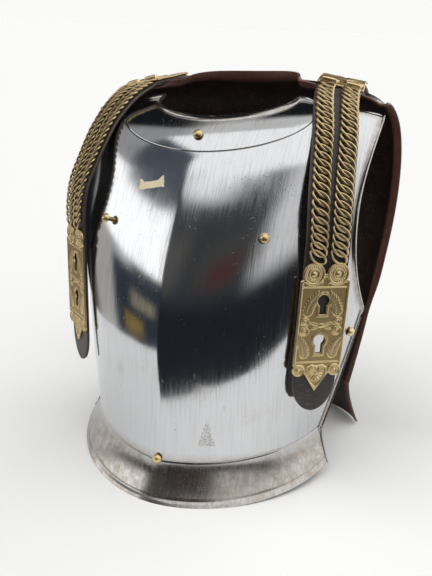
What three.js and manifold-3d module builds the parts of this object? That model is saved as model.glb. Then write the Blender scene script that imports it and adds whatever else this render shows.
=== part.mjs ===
// A heavy-cavalry cuirass: a ridged steel breastplate and a backplate, joined over each shoulder by a
// leather strap that carries two curb chains and ends in a keyholed brass plate.
// Units are millimetres. +Z is up, the wearer faces -Y, and the wearer's left is +X.
// The cuirass stands on the turned rims of its two plates, and the origin is the middle of its foot.
import * as THREE from "three";
import { mergeVertices } from "three/addons/utils/BufferGeometryUtils.js";
import Module from "manifold-3d";

const wasm = await Module();
wasm.setup();

// ---- Driving dimensions -------------------------------------------------------------------------

const PLATE_THICKNESS = 2;
const KEYHOLE_CLEARANCE = 0.6; // how much wider the hole in the leather is than the keyhole over it
const PIECE_GAP = 0.4; // clearance between pieces that lie on each other
// The old cuirass has sagged towards the wearer's right at the top.
const LEAN = { from: 200, to: 390, slope: 0.05 };
const BLUNT_RIDGE = 0.3; // how round the ridge is where it has died away
const PLATE_COLUMNS = 13; // grid cells from the ridge to one side edge
const PLATE_ROWS = 15; // grid cells from the waist line to the neck
const RIM_ROWS = 4; // grid cells of the flared rim below the waist line
const LIP_ANGLES = [40, 80]; // how far a plate's turned edge has rolled at each step, in degrees

// Each plate is described by stations up its middle line. At a station the plate runs from the middle line
// (middleY, middleZ) round to the side line (halfWidth, sideY, sideZ).
// Edges are points on that surface, given as [angle round from the middle line in degrees, station].
const BREAST = {
  station: [40, 120, 200, 270, 320, 370, 405],
  middleY: [-172.5, -172, -168, -144, -118, -75, -16],
  middleZ: [40, 120, 200, 270, 320, 370, 389],
  sideZ: [40, 120, 200, 270, 320, 370, 377],
  halfWidth: [135, 149, 161, 171, 169, 163, 150],
  sideY: [-14, -4, 5, 9, 12, 13, 14],
  crease: 0.12, // share of the section that runs straight to the ridge
  ridgeFade: [200, 372], // the stations over which the ridge dies away towards the neck
  fullness: 0.93, // below 1 the section is squarer than an ellipse
  waist: { middle: 40, side: 50, angle: 76 },
  tip: [87, 173],
  armholeMiddle: [62, 270],
  shoulderOuter: [74, 371],
  shoulderInner: [31, 400],
  neckMiddle: 368,
  neckShare: 0.5, // share of the columns that end on the neck
  tipShare: 0.36, // share of the rows below the armhole's tip
  rim: { flareMiddle: 18, flareSide: 14, cornerLift: 12, flatShare: 0.25, cornerBack: 3 },
  lip: { neck: 4.5, shoulder: 1.5, armhole: 3.5, side: 3.5 },
};

const BACK = {
  station: [50, 120, 200, 270, 335, 385, 425, 480],
  middleY: [104, 107, 127, 139, 133, 107, 62, 2],
  middleZ: [50, 120, 200, 270, 335, 384, 403, 398],
  sideZ: [50, 120, 198, 262, 318, 352, 368, 372],
  halfWidth: [139, 150, 160, 167, 168, 163, 157, 154],
  sideY: [30, 26, 24, 27, 29, 28, 22, 10],
  crease: 0,
  ridgeFade: [325, 360],
  fullness: 0.85,
  waist: { middle: 50, side: 60, angle: 76 },
  tip: [83, 172],
  armholeMiddle: [80, 300],
  shoulderOuter: [75, 462],
  shoulderInner: [28, 468],
  neckMiddle: 416,
  neckShare: 0.5,
  tipShare: 0.32,
  rim: { flareMiddle: 24, flareSide: 15, cornerLift: 4, flatShare: 0.3, cornerBack: 8 },
  lip: { neck: 9, shoulder: 1.5, armhole: 7, side: 3 },
};

// The wearer's left strap, as the line along the middle of its leather from the back end to the tip. It
// starts on the backplate, at points given as [angle, station], and then crosses to the breastplate, at
// points given as [x, y, z] with the direction across the strap there. The other strap is its mirror
// image.
const STRAP = {
  width: 45,
  thickness: 3,
  step: 9,
  tongue: 34, // length of the rounded tip
  rise: 4.2, // middle of the leather above the backplate
  onBack: [
    [39, 388],
    [40, 410],
    [41.5, 432],
    [43.5, 454],
  ],
  line: [
    [111.5, 2, 396],
    [113, -10, 393.5],
    [118.3, -32, 382.5],
    [126, -54.7, 360.4],
    [132, -77, 327],
    [136.5, -91.5, 298],
    [138.6, -96.4, 270],
    [138.2, -97, 250],
    [137, -98, 200],
    [136, -99, 150],
    [135, -100, 95],
  ],
  across: [
    [0.97, 0.05, -0.24],
    [0.97, 0.08, -0.17],
    [0.94, 0.2, -0.25],
    [0.88, 0.35, -0.25],
    [0.84, 0.5, -0.12],
    [0.81, 0.57, -0.04],
    [0.8, 0.6, 0],
    [0.8, 0.6, 0],
    [0.8, 0.6, 0],
    [0.8, 0.6, 0],
    [0.8, 0.6, 0],
  ],
};

// Each chain is a curb chain of broad links that lean across it. Here its links are joined into one
// solid that rises and widens at each of them.
const CHAIN = {
  links: 26,
  pitch: 7.2,
  width: 17,
  waist: 14.5, // width between two links
  height: 4.6,
  waistHeight: 3,
  lean: 36, // how far each link leans, in degrees
  offsetLow: 10.4, // from the strap's middle line at the front plate
  offsetHigh: 12.6, // and at the shoulder
};

const BAR = { width: 15, length: 6, height: 4.5 };

// The brass plate at the strap's front end, drawn with its top edge at 0 and its point downwards.
const FRONT_PLATE = {
  thickness: 2,
  halfWidth: 25,
  rosetteRadius: 11,
  rosetteX: 12.2,
  bodyTop: 18,
  bodyEnd: 104,
  cornerRadius: 6.5,
  cornerX: 18.5,
  cornerDrop: 109.5,
  shieldHalf: 12,
  point: 132,
  keyholes: [37, 78], // drop of each keyhole's round end
  keyholeRadius: 5.9,
  slotHalf: 3.3,
  slotLength: 14,
  leatherBelow: 23, // leather that shows past the point
};

const REAR_PLATE = {
  thickness: 1.8,
  halfWidth: 24,
  length: 66,
  rise: 0.8, // clearance over the leather
  rosetteRadius: 9.8,
  rosetteRise: 1.6,
  rosetteGap: 0.9, // between a rosette and the bar in front of it
};

// Two rivets hold the back end of each strap to the backplate.
const RIVET = { headRadius: 4.5, headHeight: 2.4, shankRadius: 2, reach: 3.6, fromEnd: 14, sideways: 12.5 };

const STUD = { headRadius: 5, headHeight: 4.6, shankRadius: 2.4 };
const STUDS = {
  neck_stud: { at: [0, 355], shank: 0.6 },
  chest_stud_left: { at: [29, 270], shank: 5 },
  chest_stud_right: { at: [-29, 270], shank: 5 },
  waist_stud: { at: [0, 41.5], shank: 0.6 },
  side_stud_left: { at: [79, 159], shank: 0.6 },
  side_stud_right: { at: [-79, 159], shank: 0.6 },
};

const STEEL = new THREE.MeshStandardMaterial({ color: 0xb9bcc0, roughness: 0.22, metalness: 1 });
const DARK_STEEL = new THREE.MeshStandardMaterial({ color: 0x9a9a98, roughness: 0.32, metalness: 1 });
const BRASS = new THREE.MeshStandardMaterial({ color: 0xa98a4e, roughness: 0.42, metalness: 1 });
const CHAIN_BRASS = new THREE.MeshStandardMaterial({ color: 0x9c8354, roughness: 0.45, metalness: 1 });
const LEATHER = new THREE.MeshStandardMaterial({ color: 0x2b2726, roughness: 0.6, metalness: 0 });

// ---- Small tools --------------------------------------------------------------------------------

const radians = THREE.MathUtils.degToRad;
const mix = (a, b, t) => a + (b - a) * t;

// The smoothest curve through values at the given keys (a natural cubic spline), carried on straight
// past its ends.
function smoothCurve(keys, values) {
  const last = keys.length - 1;
  const span = keys.slice(1).map((key, i) => key - keys[i]);
  const slope = span.map((h, i) => (values[i + 1] - values[i]) / h);
  const bend = new Array(last + 1).fill(0); // second derivative at each key
  const ratio = new Array(last + 1).fill(0);
  for (let i = 1; i < last; i += 1) {
    const pivot = 2 * (span[i - 1] + span[i]) - span[i - 1] * ratio[i - 1];
    ratio[i] = span[i] / pivot;
    bend[i] = (6 * (slope[i] - slope[i - 1]) - span[i - 1] * bend[i - 1]) / pivot;
  }
  for (let i = last - 1; i > 0; i -= 1) bend[i] -= ratio[i] * bend[i + 1];
  return (x) => {
    if (x < keys[0]) return values[0] + (x - keys[0]) * (slope[0] - (span[0] * bend[1]) / 6);
    if (x > keys[last]) {
      const h = span[last - 1];
      return values[last] + (x - keys[last]) * (slope[last - 1] + (h * bend[last - 1]) / 6);
    }
    let i = 0;
    while (i < last - 1 && x > keys[i + 1]) i += 1;
    const h = span[i];
    const a = (keys[i + 1] - x) / h;
    const c = (x - keys[i]) / h;
    const straight = a * values[i] + c * values[i + 1];
    return straight + (((a ** 3 - a) * bend[i] + (c ** 3 - c) * bend[i + 1]) * h * h) / 6;
  };
}

// A closed geometry from a grid of rings: each ring is a closed loop of points, and both ends are capped.
function ringSolid(rings) {
  const across = rings[0].length;
  const positions = rings.flat().flatMap((p) => [p.x, p.y, p.z]);
  const index = [];
  for (let r = 0; r + 1 < rings.length; r += 1)
    for (let k = 0; k < across; k += 1) {
      const a = r * across + k;
      const b = r * across + ((k + 1) % across);
      index.push(a, b, a + across, b, b + across, a + across);
    }
  const lastRing = (rings.length - 1) * across;
  for (let k = 1; k + 1 < across; k += 1) {
    index.push(0, k + 1, k);
    index.push(lastRing, lastRing + k, lastRing + k + 1);
  }
  return facingOut(positions, index);
}

// A geometry from loose positions and triangles, turned round if its faces point inwards.
function facingOut(positions, index) {
  const at = (i) => new THREE.Vector3(positions[3 * i], positions[3 * i + 1], positions[3 * i + 2]);
  let volume = 0;
  for (let i = 0; i < index.length; i += 3)
    volume += at(index[i]).dot(at(index[i + 1]).cross(at(index[i + 2])));
  if (volume < 0)
    for (let i = 0; i < index.length; i += 3) [index[i + 1], index[i + 2]] = [index[i + 2], index[i + 1]];
  const geometry = new THREE.BufferGeometry();
  geometry.setAttribute("position", new THREE.Float32BufferAttribute(positions, 3));
  geometry.setIndex(index);
  geometry.computeVertexNormals();
  return geometry;
}

function toManifold(geometry) {
  const bare = geometry.clone();
  bare.deleteAttribute("normal");
  bare.deleteAttribute("uv");
  const merged = mergeVertices(bare, 1e-4);
  return new wasm.Manifold(
    new wasm.Mesh({
      numProp: 3,
      vertProperties: new Float32Array(merged.attributes.position.array),
      triVerts: new Uint32Array(merged.index.array),
    }),
  );
}

function fromManifold(solid) {
  const mesh = solid.getMesh();
  const geometry = new THREE.BufferGeometry();
  geometry.setAttribute("position", new THREE.Float32BufferAttribute(mesh.vertProperties, 3));
  geometry.setIndex([...mesh.triVerts]);
  geometry.computeVertexNormals();
  return geometry;
}

// ---- Plates -------------------------------------------------------------------------------------

// The outer surface of a plate, as a function of the angle round from its middle line and the station.
function plateSurface(plate) {
  const curve = (name) => smoothCurve(plate.station, plate[name]);
  const names = ["middleY", "middleZ", "sideZ", "halfWidth", "sideY"];
  const [middleY, middleZ, sideZ, halfWidth, sideY] = names.map(curve);
  return (angle, station, ridge = 1) => {
    const turn = radians(angle);
    const round = Math.max(Math.cos(turn), 0) ** plate.fullness;
    const sharp = 1 - Math.abs(Math.sin(turn));
    const bluntSide = Math.hypot(Math.sin(turn), BLUNT_RIDGE) - BLUNT_RIDGE;
    const blunt = 1 - bluntSide / (Math.hypot(1, BLUNT_RIDGE) - BLUNT_RIDGE);
    const sharpShare = ridge * (1 - THREE.MathUtils.smoothstep(station, ...plate.ridgeFade));
    const share = mix(round, mix(blunt, sharp, sharpShare), plate.crease);
    return new THREE.Vector3(
      halfWidth(station) * Math.sin(turn),
      mix(sideY(station), middleY(station), share),
      mix(sideZ(station), middleZ(station), share),
    );
  };
}

// The outward normal of a plate at a point of its surface.
function plateNormal(surface, angle, station) {
  const step = 0.5;
  const round = surface(angle + step, station).sub(surface(angle - step, station));
  const up = surface(angle, station + step).sub(surface(angle, station - step));
  const normal = round.cross(up).normalize();
  const middle = surface(0, station);
  const outward = new THREE.Vector3(surface(angle, station).x, middle.y, 0);
  return normal.dot(outward) < 0 ? normal.negate() : normal;
}

// A quadratic curve from a to b that passes through m half-way.
function curveThrough(a, m, b) {
  const control = [0, 1].map((k) => 2 * m[k] - (a[k] + b[k]) / 2);
  return (t) => [0, 1].map((k) => (1 - t) ** 2 * a[k] + 2 * t * (1 - t) * control[k] + t * t * b[k]);
}

// The four edges of one half of a plate, each as a function from 0 to 1 to [angle, station].
function plateEdges(plate) {
  const { waist, tip, armholeMiddle, shoulderOuter, shoulderInner, neckMiddle, neckShare, tipShare } = plate;
  const armhole = curveThrough(tip, armholeMiddle, shoulderOuter);
  const bottom = (u) => [waist.angle * u, mix(waist.middle, waist.side, u * u)];
  const side = (v) =>
    v < tipShare
      ? [mix(waist.angle, tip[0], v / tipShare), mix(waist.side, tip[1], v / tipShare)]
      : armhole((v - tipShare) / (1 - tipShare));
  const top = (u) => {
    if (u >= neckShare) {
      const t = (u - neckShare) / (1 - neckShare);
      return [0, 1].map((k) => mix(shoulderInner[k], shoulderOuter[k], t));
    }
    const t = (u / neckShare) * (Math.PI / 2);
    return [shoulderInner[0] * Math.sin(t), mix(neckMiddle, shoulderInner[1], 1 - Math.cos(t))];
  };
  const middle = (v) => [0, mix(waist.middle, neckMiddle, v)];
  return { bottom, side, top, middle };
}

// The point of a plate's flat chart at shares u (from the middle line to the side) and v (from the waist
// to the neck).
function platePatch(plate) {
  const { bottom, side, top, middle } = plateEdges(plate);
  return (u, v) =>
    [0, 1].map((k) => {
      const ruled = mix(bottom(u)[k], top(u)[k], v) + mix(middle(v)[k], side(v)[k], u);
      const corners = mix(mix(bottom(0)[k], bottom(1)[k], u), mix(top(0)[k], top(1)[k], u), v);
      return ruled - corners;
    });
}

// One step of a turned edge: the edge rolls round a small radius from the way it was going towards the
// outside.
function rolled(radius, along, outward, degrees) {
  const turn = radians(degrees);
  return along
    .clone()
    .multiplyScalar(radius * Math.sin(turn))
    .addScaledVector(outward, radius * (1 - Math.cos(turn)));
}

// The direction that leaves a plate across its edge, square to the edge and to the plate.
function awayFromEdge(point, inside, before, after, normal) {
  const edge = after.clone().sub(before).normalize();
  const away = edge.clone().cross(normal).normalize();
  return away.dot(point.clone().sub(inside)) < 0 ? away.negate() : away;
}

// Rows of points over the right half of a plate's outer surface, from its rim to its neck lip.
function halfPlateRows(plate) {
  const surface = plateSurface(plate);
  const patch = platePatch(plate);
  const columns = PLATE_COLUMNS;
  const chart = (i, j) => patch(i / columns, j / PLATE_ROWS);
  const body = [];
  const normals = [];
  for (let j = 0; j <= PLATE_ROWS; j += 1) {
    body.push([]);
    normals.push([]);
    for (let i = 0; i <= columns; i += 1) {
      const [angle, station] = chart(i, j);
      body[j].push(surface(angle, station));
      normals[j].push(plateNormal(surface, angle, station));
    }
  }

  // The side edge and the armhole roll outwards.
  const { lip, tipShare, neckShare } = plate;
  const sideLip = body.map((row, j) => {
    const above = body[Math.min(j + 1, PLATE_ROWS)][columns];
    const below = body[Math.max(j - 1, 0)][columns];
    const away = awayFromEdge(row[columns], row[columns - 1], below, above, normals[j][columns]);
    const v = j / PLATE_ROWS;
    const radius = mix(lip.side, lip.armhole, THREE.MathUtils.smoothstep(v, tipShare - 0.05, tipShare + 0.1));
    return LIP_ANGLES.map((angle) => rolled(radius, away, normals[j][columns], angle));
  });
  const rows = body.map((row, j) => [...row, ...sideLip[j].map((step) => row[columns].clone().add(step))]);

  // The neck rolls outwards, and the roll dies away along the shoulder.
  const topRow = body[PLATE_ROWS];
  const topLip = topRow.map((point, i) => {
    const after = topRow[Math.min(i + 1, columns)];
    const before = i ? topRow[i - 1] : new THREE.Vector3(-after.x, after.y, after.z);
    const normal = normals[PLATE_ROWS][i].clone();
    if (i === 0) normal.setX(0).normalize();
    const away = awayFromEdge(point, body[PLATE_ROWS - 1][i], before, after, normal);
    const fade = THREE.MathUtils.smoothstep(i / columns, neckShare, neckShare + 0.12);
    const radius = mix(lip.neck, lip.shoulder, fade);
    return LIP_ANGLES.map((angle) => rolled(radius, away, normal, angle));
  });
  LIP_ANGLES.forEach((_, k) => {
    const row = topRow.map((point, i) => point.clone().add(topLip[i][k]));
    const corner = row[columns];
    rows.push([...row, ...sideLip[PLATE_ROWS].map((step) => corner.clone().add(step))]);
  });

  // Below the waist line the plate flares out to its rim.
  const { rim, waist } = plate;
  for (let r = 1; r <= RIM_ROWS; r += 1) {
    const t = r / RIM_ROWS;
    const row = body[0].map((_, i) => {
      const u = i / columns;
      const point = surface(...chart(i, 0), 1 - t); // the ridge dies away towards the rim
      const flare = mix(rim.flareMiddle, rim.flareSide, u * u) * t ** 1.6;
      const outward = normals[0][i].clone().setZ(0).normalize();
      const lift = rim.cornerLift * Math.max(0, (u - rim.flatShare) / (1 - rim.flatShare)) ** 2;
      const moved = point.clone().addScaledVector(outward, flare);
      moved.y += Math.sign(plate.middleY[0]) * rim.cornerBack * u ** 4 * t;
      moved.z = mix(mix(waist.middle, waist.side, u * u), lift, t);
      if (i === 0) moved.x = 0;
      return moved;
    });
    const corner = row[columns];
    const shrink = 1 - 0.6 * t;
    const turned = sideLip[0].map((step) => corner.clone().addScaledVector(step.clone().setZ(0), shrink));
    rows.unshift([...row, ...turned]);
  }
  return rows;
}

const mirrored = (p) => new THREE.Vector3(-p.x, p.y, p.z);

// A closed shell from rows of points over its outer surface, with its inner surface one thickness
// further in.
function shellSolid(rows, thickness, outwardY) {
  const height = rows.length;
  const width = rows[0].length;
  const normalAt = (j, i) => {
    const along = rows[j][Math.min(i + 1, width - 1)].clone().sub(rows[j][Math.max(i - 1, 0)]);
    const up = rows[Math.min(j + 1, height - 1)][i].clone().sub(rows[Math.max(j - 1, 0)][i]);
    return along.cross(up).multiplyScalar(-outwardY).normalize();
  };
  const inner = rows.map((row, j) =>
    row.map((point, i) => {
      const normal = normalAt(j, i);
      if (j === 0) normal.setZ(0).normalize(); // the rim is cut off level, so that it stands flat
      return point.clone().addScaledVector(normal, -thickness);
    }),
  );
  const positions = [...rows.flat(), ...inner.flat()].flatMap((p) => [p.x, p.y, p.z]);
  const count = width * height;
  const index = [];
  const quad = (a, b, c, d) => index.push(a, b, c, a, c, d);
  for (let j = 0; j + 1 < height; j += 1)
    for (let i = 0; i + 1 < width; i += 1) {
      const a = j * width + i;
      quad(a, a + 1, a + width + 1, a + width);
      quad(a + count, a + width + count, a + width + 1 + count, a + 1 + count);
    }
  const topStart = (height - 1) * width;
  for (let i = 0; i + 1 < width; i += 1) {
    quad(i, i + count, i + 1 + count, i + 1);
    quad(topStart + i, topStart + i + 1, topStart + i + 1 + count, topStart + i + count);
  }
  for (let j = 0; j + 1 < height; j += 1) {
    const left = j * width;
    const right = left + width - 1;
    quad(left, left + width, left + width + count, left + count);
    quad(right, right + count, right + width + count, right + width);
  }
  return facingOut(positions, index);
}

function plateGeometry(plate) {
  const rows = halfPlateRows(plate).map((row) => [...row.slice(1).reverse().map(mirrored), ...row]);
  return shellSolid(rows, PLATE_THICKNESS, Math.sign(plate.middleY[0]));
}

// ---- Straps -------------------------------------------------------------------------------------

// A frame along the strap's middle line: point, direction along, direction across, and the outward normal.
function strapFrames() {
  const surface = plateSurface(BACK);
  const rear = STRAP.onBack.map(([angle, station]) => {
    const point = surface(angle, station).addScaledVector(plateNormal(surface, angle, station), STRAP.rise);
    const side = surface(angle + 1, station).sub(surface(angle - 1, station)).normalize();
    return { point, side };
  });
  const vectors = (list) => list.map((p) => new THREE.Vector3(...p));
  const points = [...rear.map(({ point }) => point), ...vectors(STRAP.line)];
  const sides = [...rear.map(({ side }) => side), ...vectors(STRAP.across)];
  const line = new THREE.CatmullRomCurve3(points, false, "centripetal");
  const across = new THREE.CatmullRomCurve3(sides, false, "catmullrom");
  const length = line.getLength();
  const frameAt = (distance) => {
    const t = line.getUtoTmapping(distance / length);
    const point = line.getPoint(t);
    const along = line.getTangent(t);
    const side = across.getPoint(t);
    side.addScaledVector(along, -side.dot(along)).normalize();
    const outward = along.clone().cross(side).normalize();
    return { point, along, side, outward };
  };
  return { length, frameAt };
}

const strap = strapFrames();
// From the leather's tip up to the front plate's top.
const plateDrop = FRONT_PLATE.point + FRONT_PLATE.leatherBelow;
const PLATE_START = strap.length - plateDrop;
const STRAP_STEPS = Math.round(strap.length / STRAP.step);

// A point beside and above the strap's middle line.
function onStrap(distance, sideways, height) {
  const { point, side, outward } = strap.frameAt(distance);
  return point.clone().addScaledVector(side, sideways).addScaledVector(outward, height);
}

function strapLeather() {
  const rings = [];
  const half = STRAP.thickness / 2;
  for (let k = 0; k <= STRAP_STEPS; k += 1) {
    const distance = (strap.length * k) / STRAP_STEPS;
    const toTip = Math.min(1, (strap.length - distance) / STRAP.tongue);
    const reach = Math.sqrt(1 - (1 - toTip) ** 2); // a half-ellipse at the tip
    const w = (STRAP.width / 2) * Math.max(reach, 0.12);
    rings.push([
      onStrap(distance, -w, -half),
      onStrap(distance, w, -half),
      onStrap(distance, w, half),
      onStrap(distance, -w, half),
    ]);
  }
  const rivetHole = (sideways) => {
    const radius = RIVET.shankRadius + PIECE_GAP;
    const drill = new THREE.CylinderGeometry(radius, radius, 12, 12);
    return toManifold(standOnStrap(drill, RIVET.fromEnd, sideways, 0));
  };
  const holes = [keyholeCutter(FRONT_PLATE.keyholes[1])].map(toManifold);
  holes.push(rivetHole(RIVET.sideways), rivetHole(-RIVET.sideways));
  return fromManifold(holes.reduce((leather, hole) => leather.subtract(hole), toManifold(ringSolid(rings))));
}

// Turns a geometry whose axis is Y so that it stands square on the strap, with its origin at a height
// above the middle.
function standOnStrap(geometry, distance, sideways, height) {
  const { along, side, outward } = strap.frameAt(distance);
  const place = new THREE.Matrix4().makeBasis(side, outward, along);
  return geometry.applyMatrix4(place.setPosition(onStrap(distance, sideways, height)));
}

// The outline of a keyhole: a round end with a straight slot below it.
function keyholePath(drop, grow = 0) {
  const { keyholeRadius, slotHalf, slotLength } = FRONT_PLATE;
  const radius = keyholeRadius + grow;
  const half = slotHalf + grow;
  const start = Math.asin(half / radius);
  const path = new THREE.Path();
  path.moveTo(half, -drop - slotLength - grow);
  path.lineTo(half, -drop - radius * Math.cos(start));
  path.absarc(0, -drop, radius, -Math.PI / 2 + start, Math.PI * 1.5 - start, false);
  path.lineTo(-half, -drop - slotLength - grow);
  path.closePath();
  return path;
}

// Turns a flat extrusion, drawn downwards from 0, on to the strap: its back face lies at a height above
// the leather.
function layOnStrap(geometry, start, height, length) {
  const a = strap.frameAt(start);
  const b = strap.frameAt(start + length);
  const down = b.point.clone().sub(a.point).normalize();
  const side = a.side.clone().add(b.side);
  side.addScaledVector(down, -side.dot(down)).normalize();
  const outward = down.clone().cross(side).normalize();
  const middle = a.point.clone().add(b.point).multiplyScalar(0.5);
  const origin = middle.addScaledVector(down, -length / 2).addScaledVector(outward, height);
  const place = new THREE.Matrix4().makeBasis(side, down.clone().negate(), outward).setPosition(origin);
  return geometry.applyMatrix4(place);
}

const CURVE_STEPS = 5;

function keyholeCutter(drop) {
  const shape = new THREE.Shape(keyholePath(drop, KEYHOLE_CLEARANCE).getPoints(CURVE_STEPS));
  const settings = { depth: 24, bevelEnabled: false, curveSegments: CURVE_STEPS };
  const prism = new THREE.ExtrudeGeometry(shape, settings);
  return layOnStrap(prism, PLATE_START, -12, FRONT_PLATE.point);
}

function circlePath(x, y, radius) {
  return new THREE.Shape().absarc(x, y, radius, 0, Math.PI * 2, false);
}

const leatherTop = STRAP.thickness / 2 + PIECE_GAP;

function frontPlate() {
  const p = FRONT_PLATE;
  const body = new THREE.Shape();
  body.moveTo(-p.halfWidth, -p.bodyTop);
  body.lineTo(-p.halfWidth, -p.bodyEnd);
  body.lineTo(-p.shieldHalf, -p.cornerDrop - 4);
  body.lineTo(0, -p.point);
  body.lineTo(p.shieldHalf, -p.cornerDrop - 4);
  body.lineTo(p.halfWidth, -p.bodyEnd);
  body.lineTo(p.halfWidth, -p.bodyTop);
  body.lineTo(p.rosetteX, -p.rosetteRadius);
  body.lineTo(-p.rosetteX, -p.rosetteRadius);
  body.closePath();
  const rounds = [-1, 1].flatMap((s) => [
    circlePath(s * p.rosetteX, -p.rosetteRadius, p.rosetteRadius),
    circlePath(s * p.cornerX, -p.cornerDrop, p.cornerRadius),
  ]);
  const holes = p.keyholes.map((drop) => new THREE.Shape(keyholePath(drop).getPoints(CURVE_STEPS)));
  const prism = (shape, depth, back) => {
    const settings = { depth, bevelEnabled: false, curveSegments: CURVE_STEPS };
    return toManifold(new THREE.ExtrudeGeometry(shape, settings).translate(0, 0, back));
  };
  const whole = wasm.Manifold.union([body, ...rounds].map((shape) => prism(shape, p.thickness, 0)));
  const drills = holes.map((shape) => prism(shape, 3 * p.thickness, -p.thickness));
  const cut = drills.reduce((solid, drill) => solid.subtract(drill), whole);
  return layOnStrap(fromManifold(cut), PLATE_START, leatherTop + 0.5, p.point);
}

// The rear plate follows the strap over the back of the shoulder and ends under the chains' bars.
function rearPlate() {
  const { halfWidth, length, thickness, rise, rosetteRadius, rosetteRise, rosetteGap } = REAR_PLATE;
  const end = CHAIN_START - PIECE_GAP;
  const back = leatherTop + rise;
  const spacing = strap.length / STRAP_STEPS;
  const distances = [end];
  for (let k = Math.floor(end / spacing - 0.2); k * spacing > end - length; k -= 1) {
    distances.unshift(k * spacing);
  }
  const ribbon = ringSolid(
    distances.map((distance, k) => {
      const w = halfWidth * (k === 0 ? 0.45 : 1);
      return [
        onStrap(distance, -w, back),
        onStrap(distance, w, back),
        onStrap(distance, w, back + thickness),
        onStrap(distance, -w, back + thickness),
      ];
    }),
  );
  const rosettes = [-1, 1].map((sign) => {
    const disc = new THREE.CylinderGeometry(rosetteRadius, rosetteRadius, thickness + rosetteRise, 20);
    const middle = end - BAR.length - rosetteGap - rosetteRadius;
    const height = back + (thickness + rosetteRise) / 2 + 0.2;
    return toManifold(standOnStrap(disc, middle, sign * CHAIN.offsetHigh, height));
  });
  return fromManifold(wasm.Manifold.union([toManifold(ribbon), ...rosettes]));
}

// ---- Chains -------------------------------------------------------------------------------------

const CHAIN_END = PLATE_START - 1.5; // the chain meets the front plate's top edge
const CHAIN_START = CHAIN_END - CHAIN.links * CHAIN.pitch;

function chain(side) {
  const { links, pitch, width, waist, height, waistHeight, lean, offsetLow, offsetHigh } = CHAIN;
  const rings = [];
  const slope = Math.tan(radians(lean));
  for (let k = 0; k <= 2 * links; k += 1) {
    const crest = k % 2 === 1;
    const share = k / (2 * links);
    const offset = side * mix(offsetHigh, offsetLow, share);
    const half = (crest ? width : waist) / 2;
    const rise = (crest ? height : waistHeight) / 2;
    const straighten = Math.min(1, k / 3, (2 * links - k) / 3); // the ends are cut square
    const point = (across, up) =>
      onStrap(
        CHAIN_START + (k * pitch) / 2 + across * slope * straighten,
        offset + across,
        leatherTop + height / 2 + up,
      );
    rings.push([
      point(-half, 0),
      point(-half * 0.6, -rise),
      point(half * 0.6, -rise),
      point(half, 0),
      point(half * 0.6, rise),
      point(-half * 0.6, rise),
    ]);
  }
  return ringSolid(rings);
}

// A brass bar that holds the back end of a chain.
function chainBar(side) {
  const { width, length, height } = BAR;
  const offset = side * CHAIN.offsetHigh;
  const rings = [];
  const end = CHAIN_START - PIECE_GAP;
  const back = leatherTop + REAR_PLATE.rise + REAR_PLATE.thickness + PIECE_GAP;
  [0, 0.25, 0.75, 1].forEach((share, k) => {
    const top = k === 0 || k === 3 ? height * 0.6 : height;
    const distance = end - length + share * length;
    rings.push([
      onStrap(distance, offset - width / 2, back),
      onStrap(distance, offset + width / 2, back),
      onStrap(distance, offset + width / 2, back + top),
      onStrap(distance, offset - width / 2, back + top),
    ]);
  });
  return ringSolid(rings);
}

// ---- Studs and rivets ---------------------------------------------------------------------------

// A domed head on a round shank, standing on its foot with its axis along Y.
function domedPin(shank, { shankRadius, headRadius, headHeight }) {
  const profile = [
    new THREE.Vector2(0, 0),
    new THREE.Vector2(shankRadius, 0),
    new THREE.Vector2(shankRadius, shank),
  ];
  const steps = 4;
  for (let k = 0; k <= steps; k += 1) {
    const a = (k / steps) * (Math.PI / 2);
    const radius = k === steps ? 0 : headRadius * Math.cos(a);
    profile.push(new THREE.Vector2(radius, shank + headHeight * Math.sin(a)));
  }
  return new THREE.LatheGeometry(profile, 12);
}

function rivet(side) {
  const pin = domedPin(RIVET.reach + leatherTop, RIVET);
  return standOnStrap(mergeVertices(pin), RIVET.fromEnd, side * RIVET.sideways, -RIVET.reach);
}

function studMesh(name, { at, shank }) {
  const surface = plateSurface(BREAST);
  const mesh = new THREE.Mesh(domedPin(shank, STUD), BRASS);
  const normal = plateNormal(surface, at[0], at[1]);
  if (at[0] === 0) normal.setX(0).normalize();
  mesh.position.copy(surface(...at).addScaledVector(normal, PIECE_GAP));
  mesh.quaternion.setFromUnitVectors(new THREE.Vector3(0, 1, 0), normal);
  mesh.name = name;
  return mesh;
}

// ---- Assembly -----------------------------------------------------------------------------------

const cuirass = new THREE.Group();

function add(name, geometry, material) {
  const mesh = new THREE.Mesh(geometry, material);
  mesh.name = name;
  cuirass.add(mesh);
}

function mirroredGeometry(geometry) {
  const flipped = geometry.clone().applyMatrix4(new THREE.Matrix4().makeScale(-1, 1, 1));
  const plain = flipped.index ? flipped : mergeVertices(flipped);
  return facingOut([...plain.attributes.position.array], [...plain.index.array]);
}

add("breastplate", plateGeometry(BREAST), STEEL);
add("backplate", plateGeometry(BACK), DARK_STEEL);
for (const [piece, geometry, material] of [
  ["strap", strapLeather(), LEATHER],
  ["front_plate", frontPlate(), BRASS],
  ["rear_plate", rearPlate(), BRASS],
  ["inner_chain", chain(-1), CHAIN_BRASS],
  ["outer_chain", chain(1), CHAIN_BRASS],
  ["inner_bar", chainBar(-1), BRASS],
  ["outer_bar", chainBar(1), BRASS],
  ["inner_rivet", rivet(-1), BRASS],
  ["outer_rivet", rivet(1), BRASS],
]) {
  add(`${piece}_left`, geometry, material);
  add(`${piece}_right`, mirroredGeometry(geometry), material);
}
for (const [name, stud] of Object.entries(STUDS)) cuirass.add(studMesh(name, stud));

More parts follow.
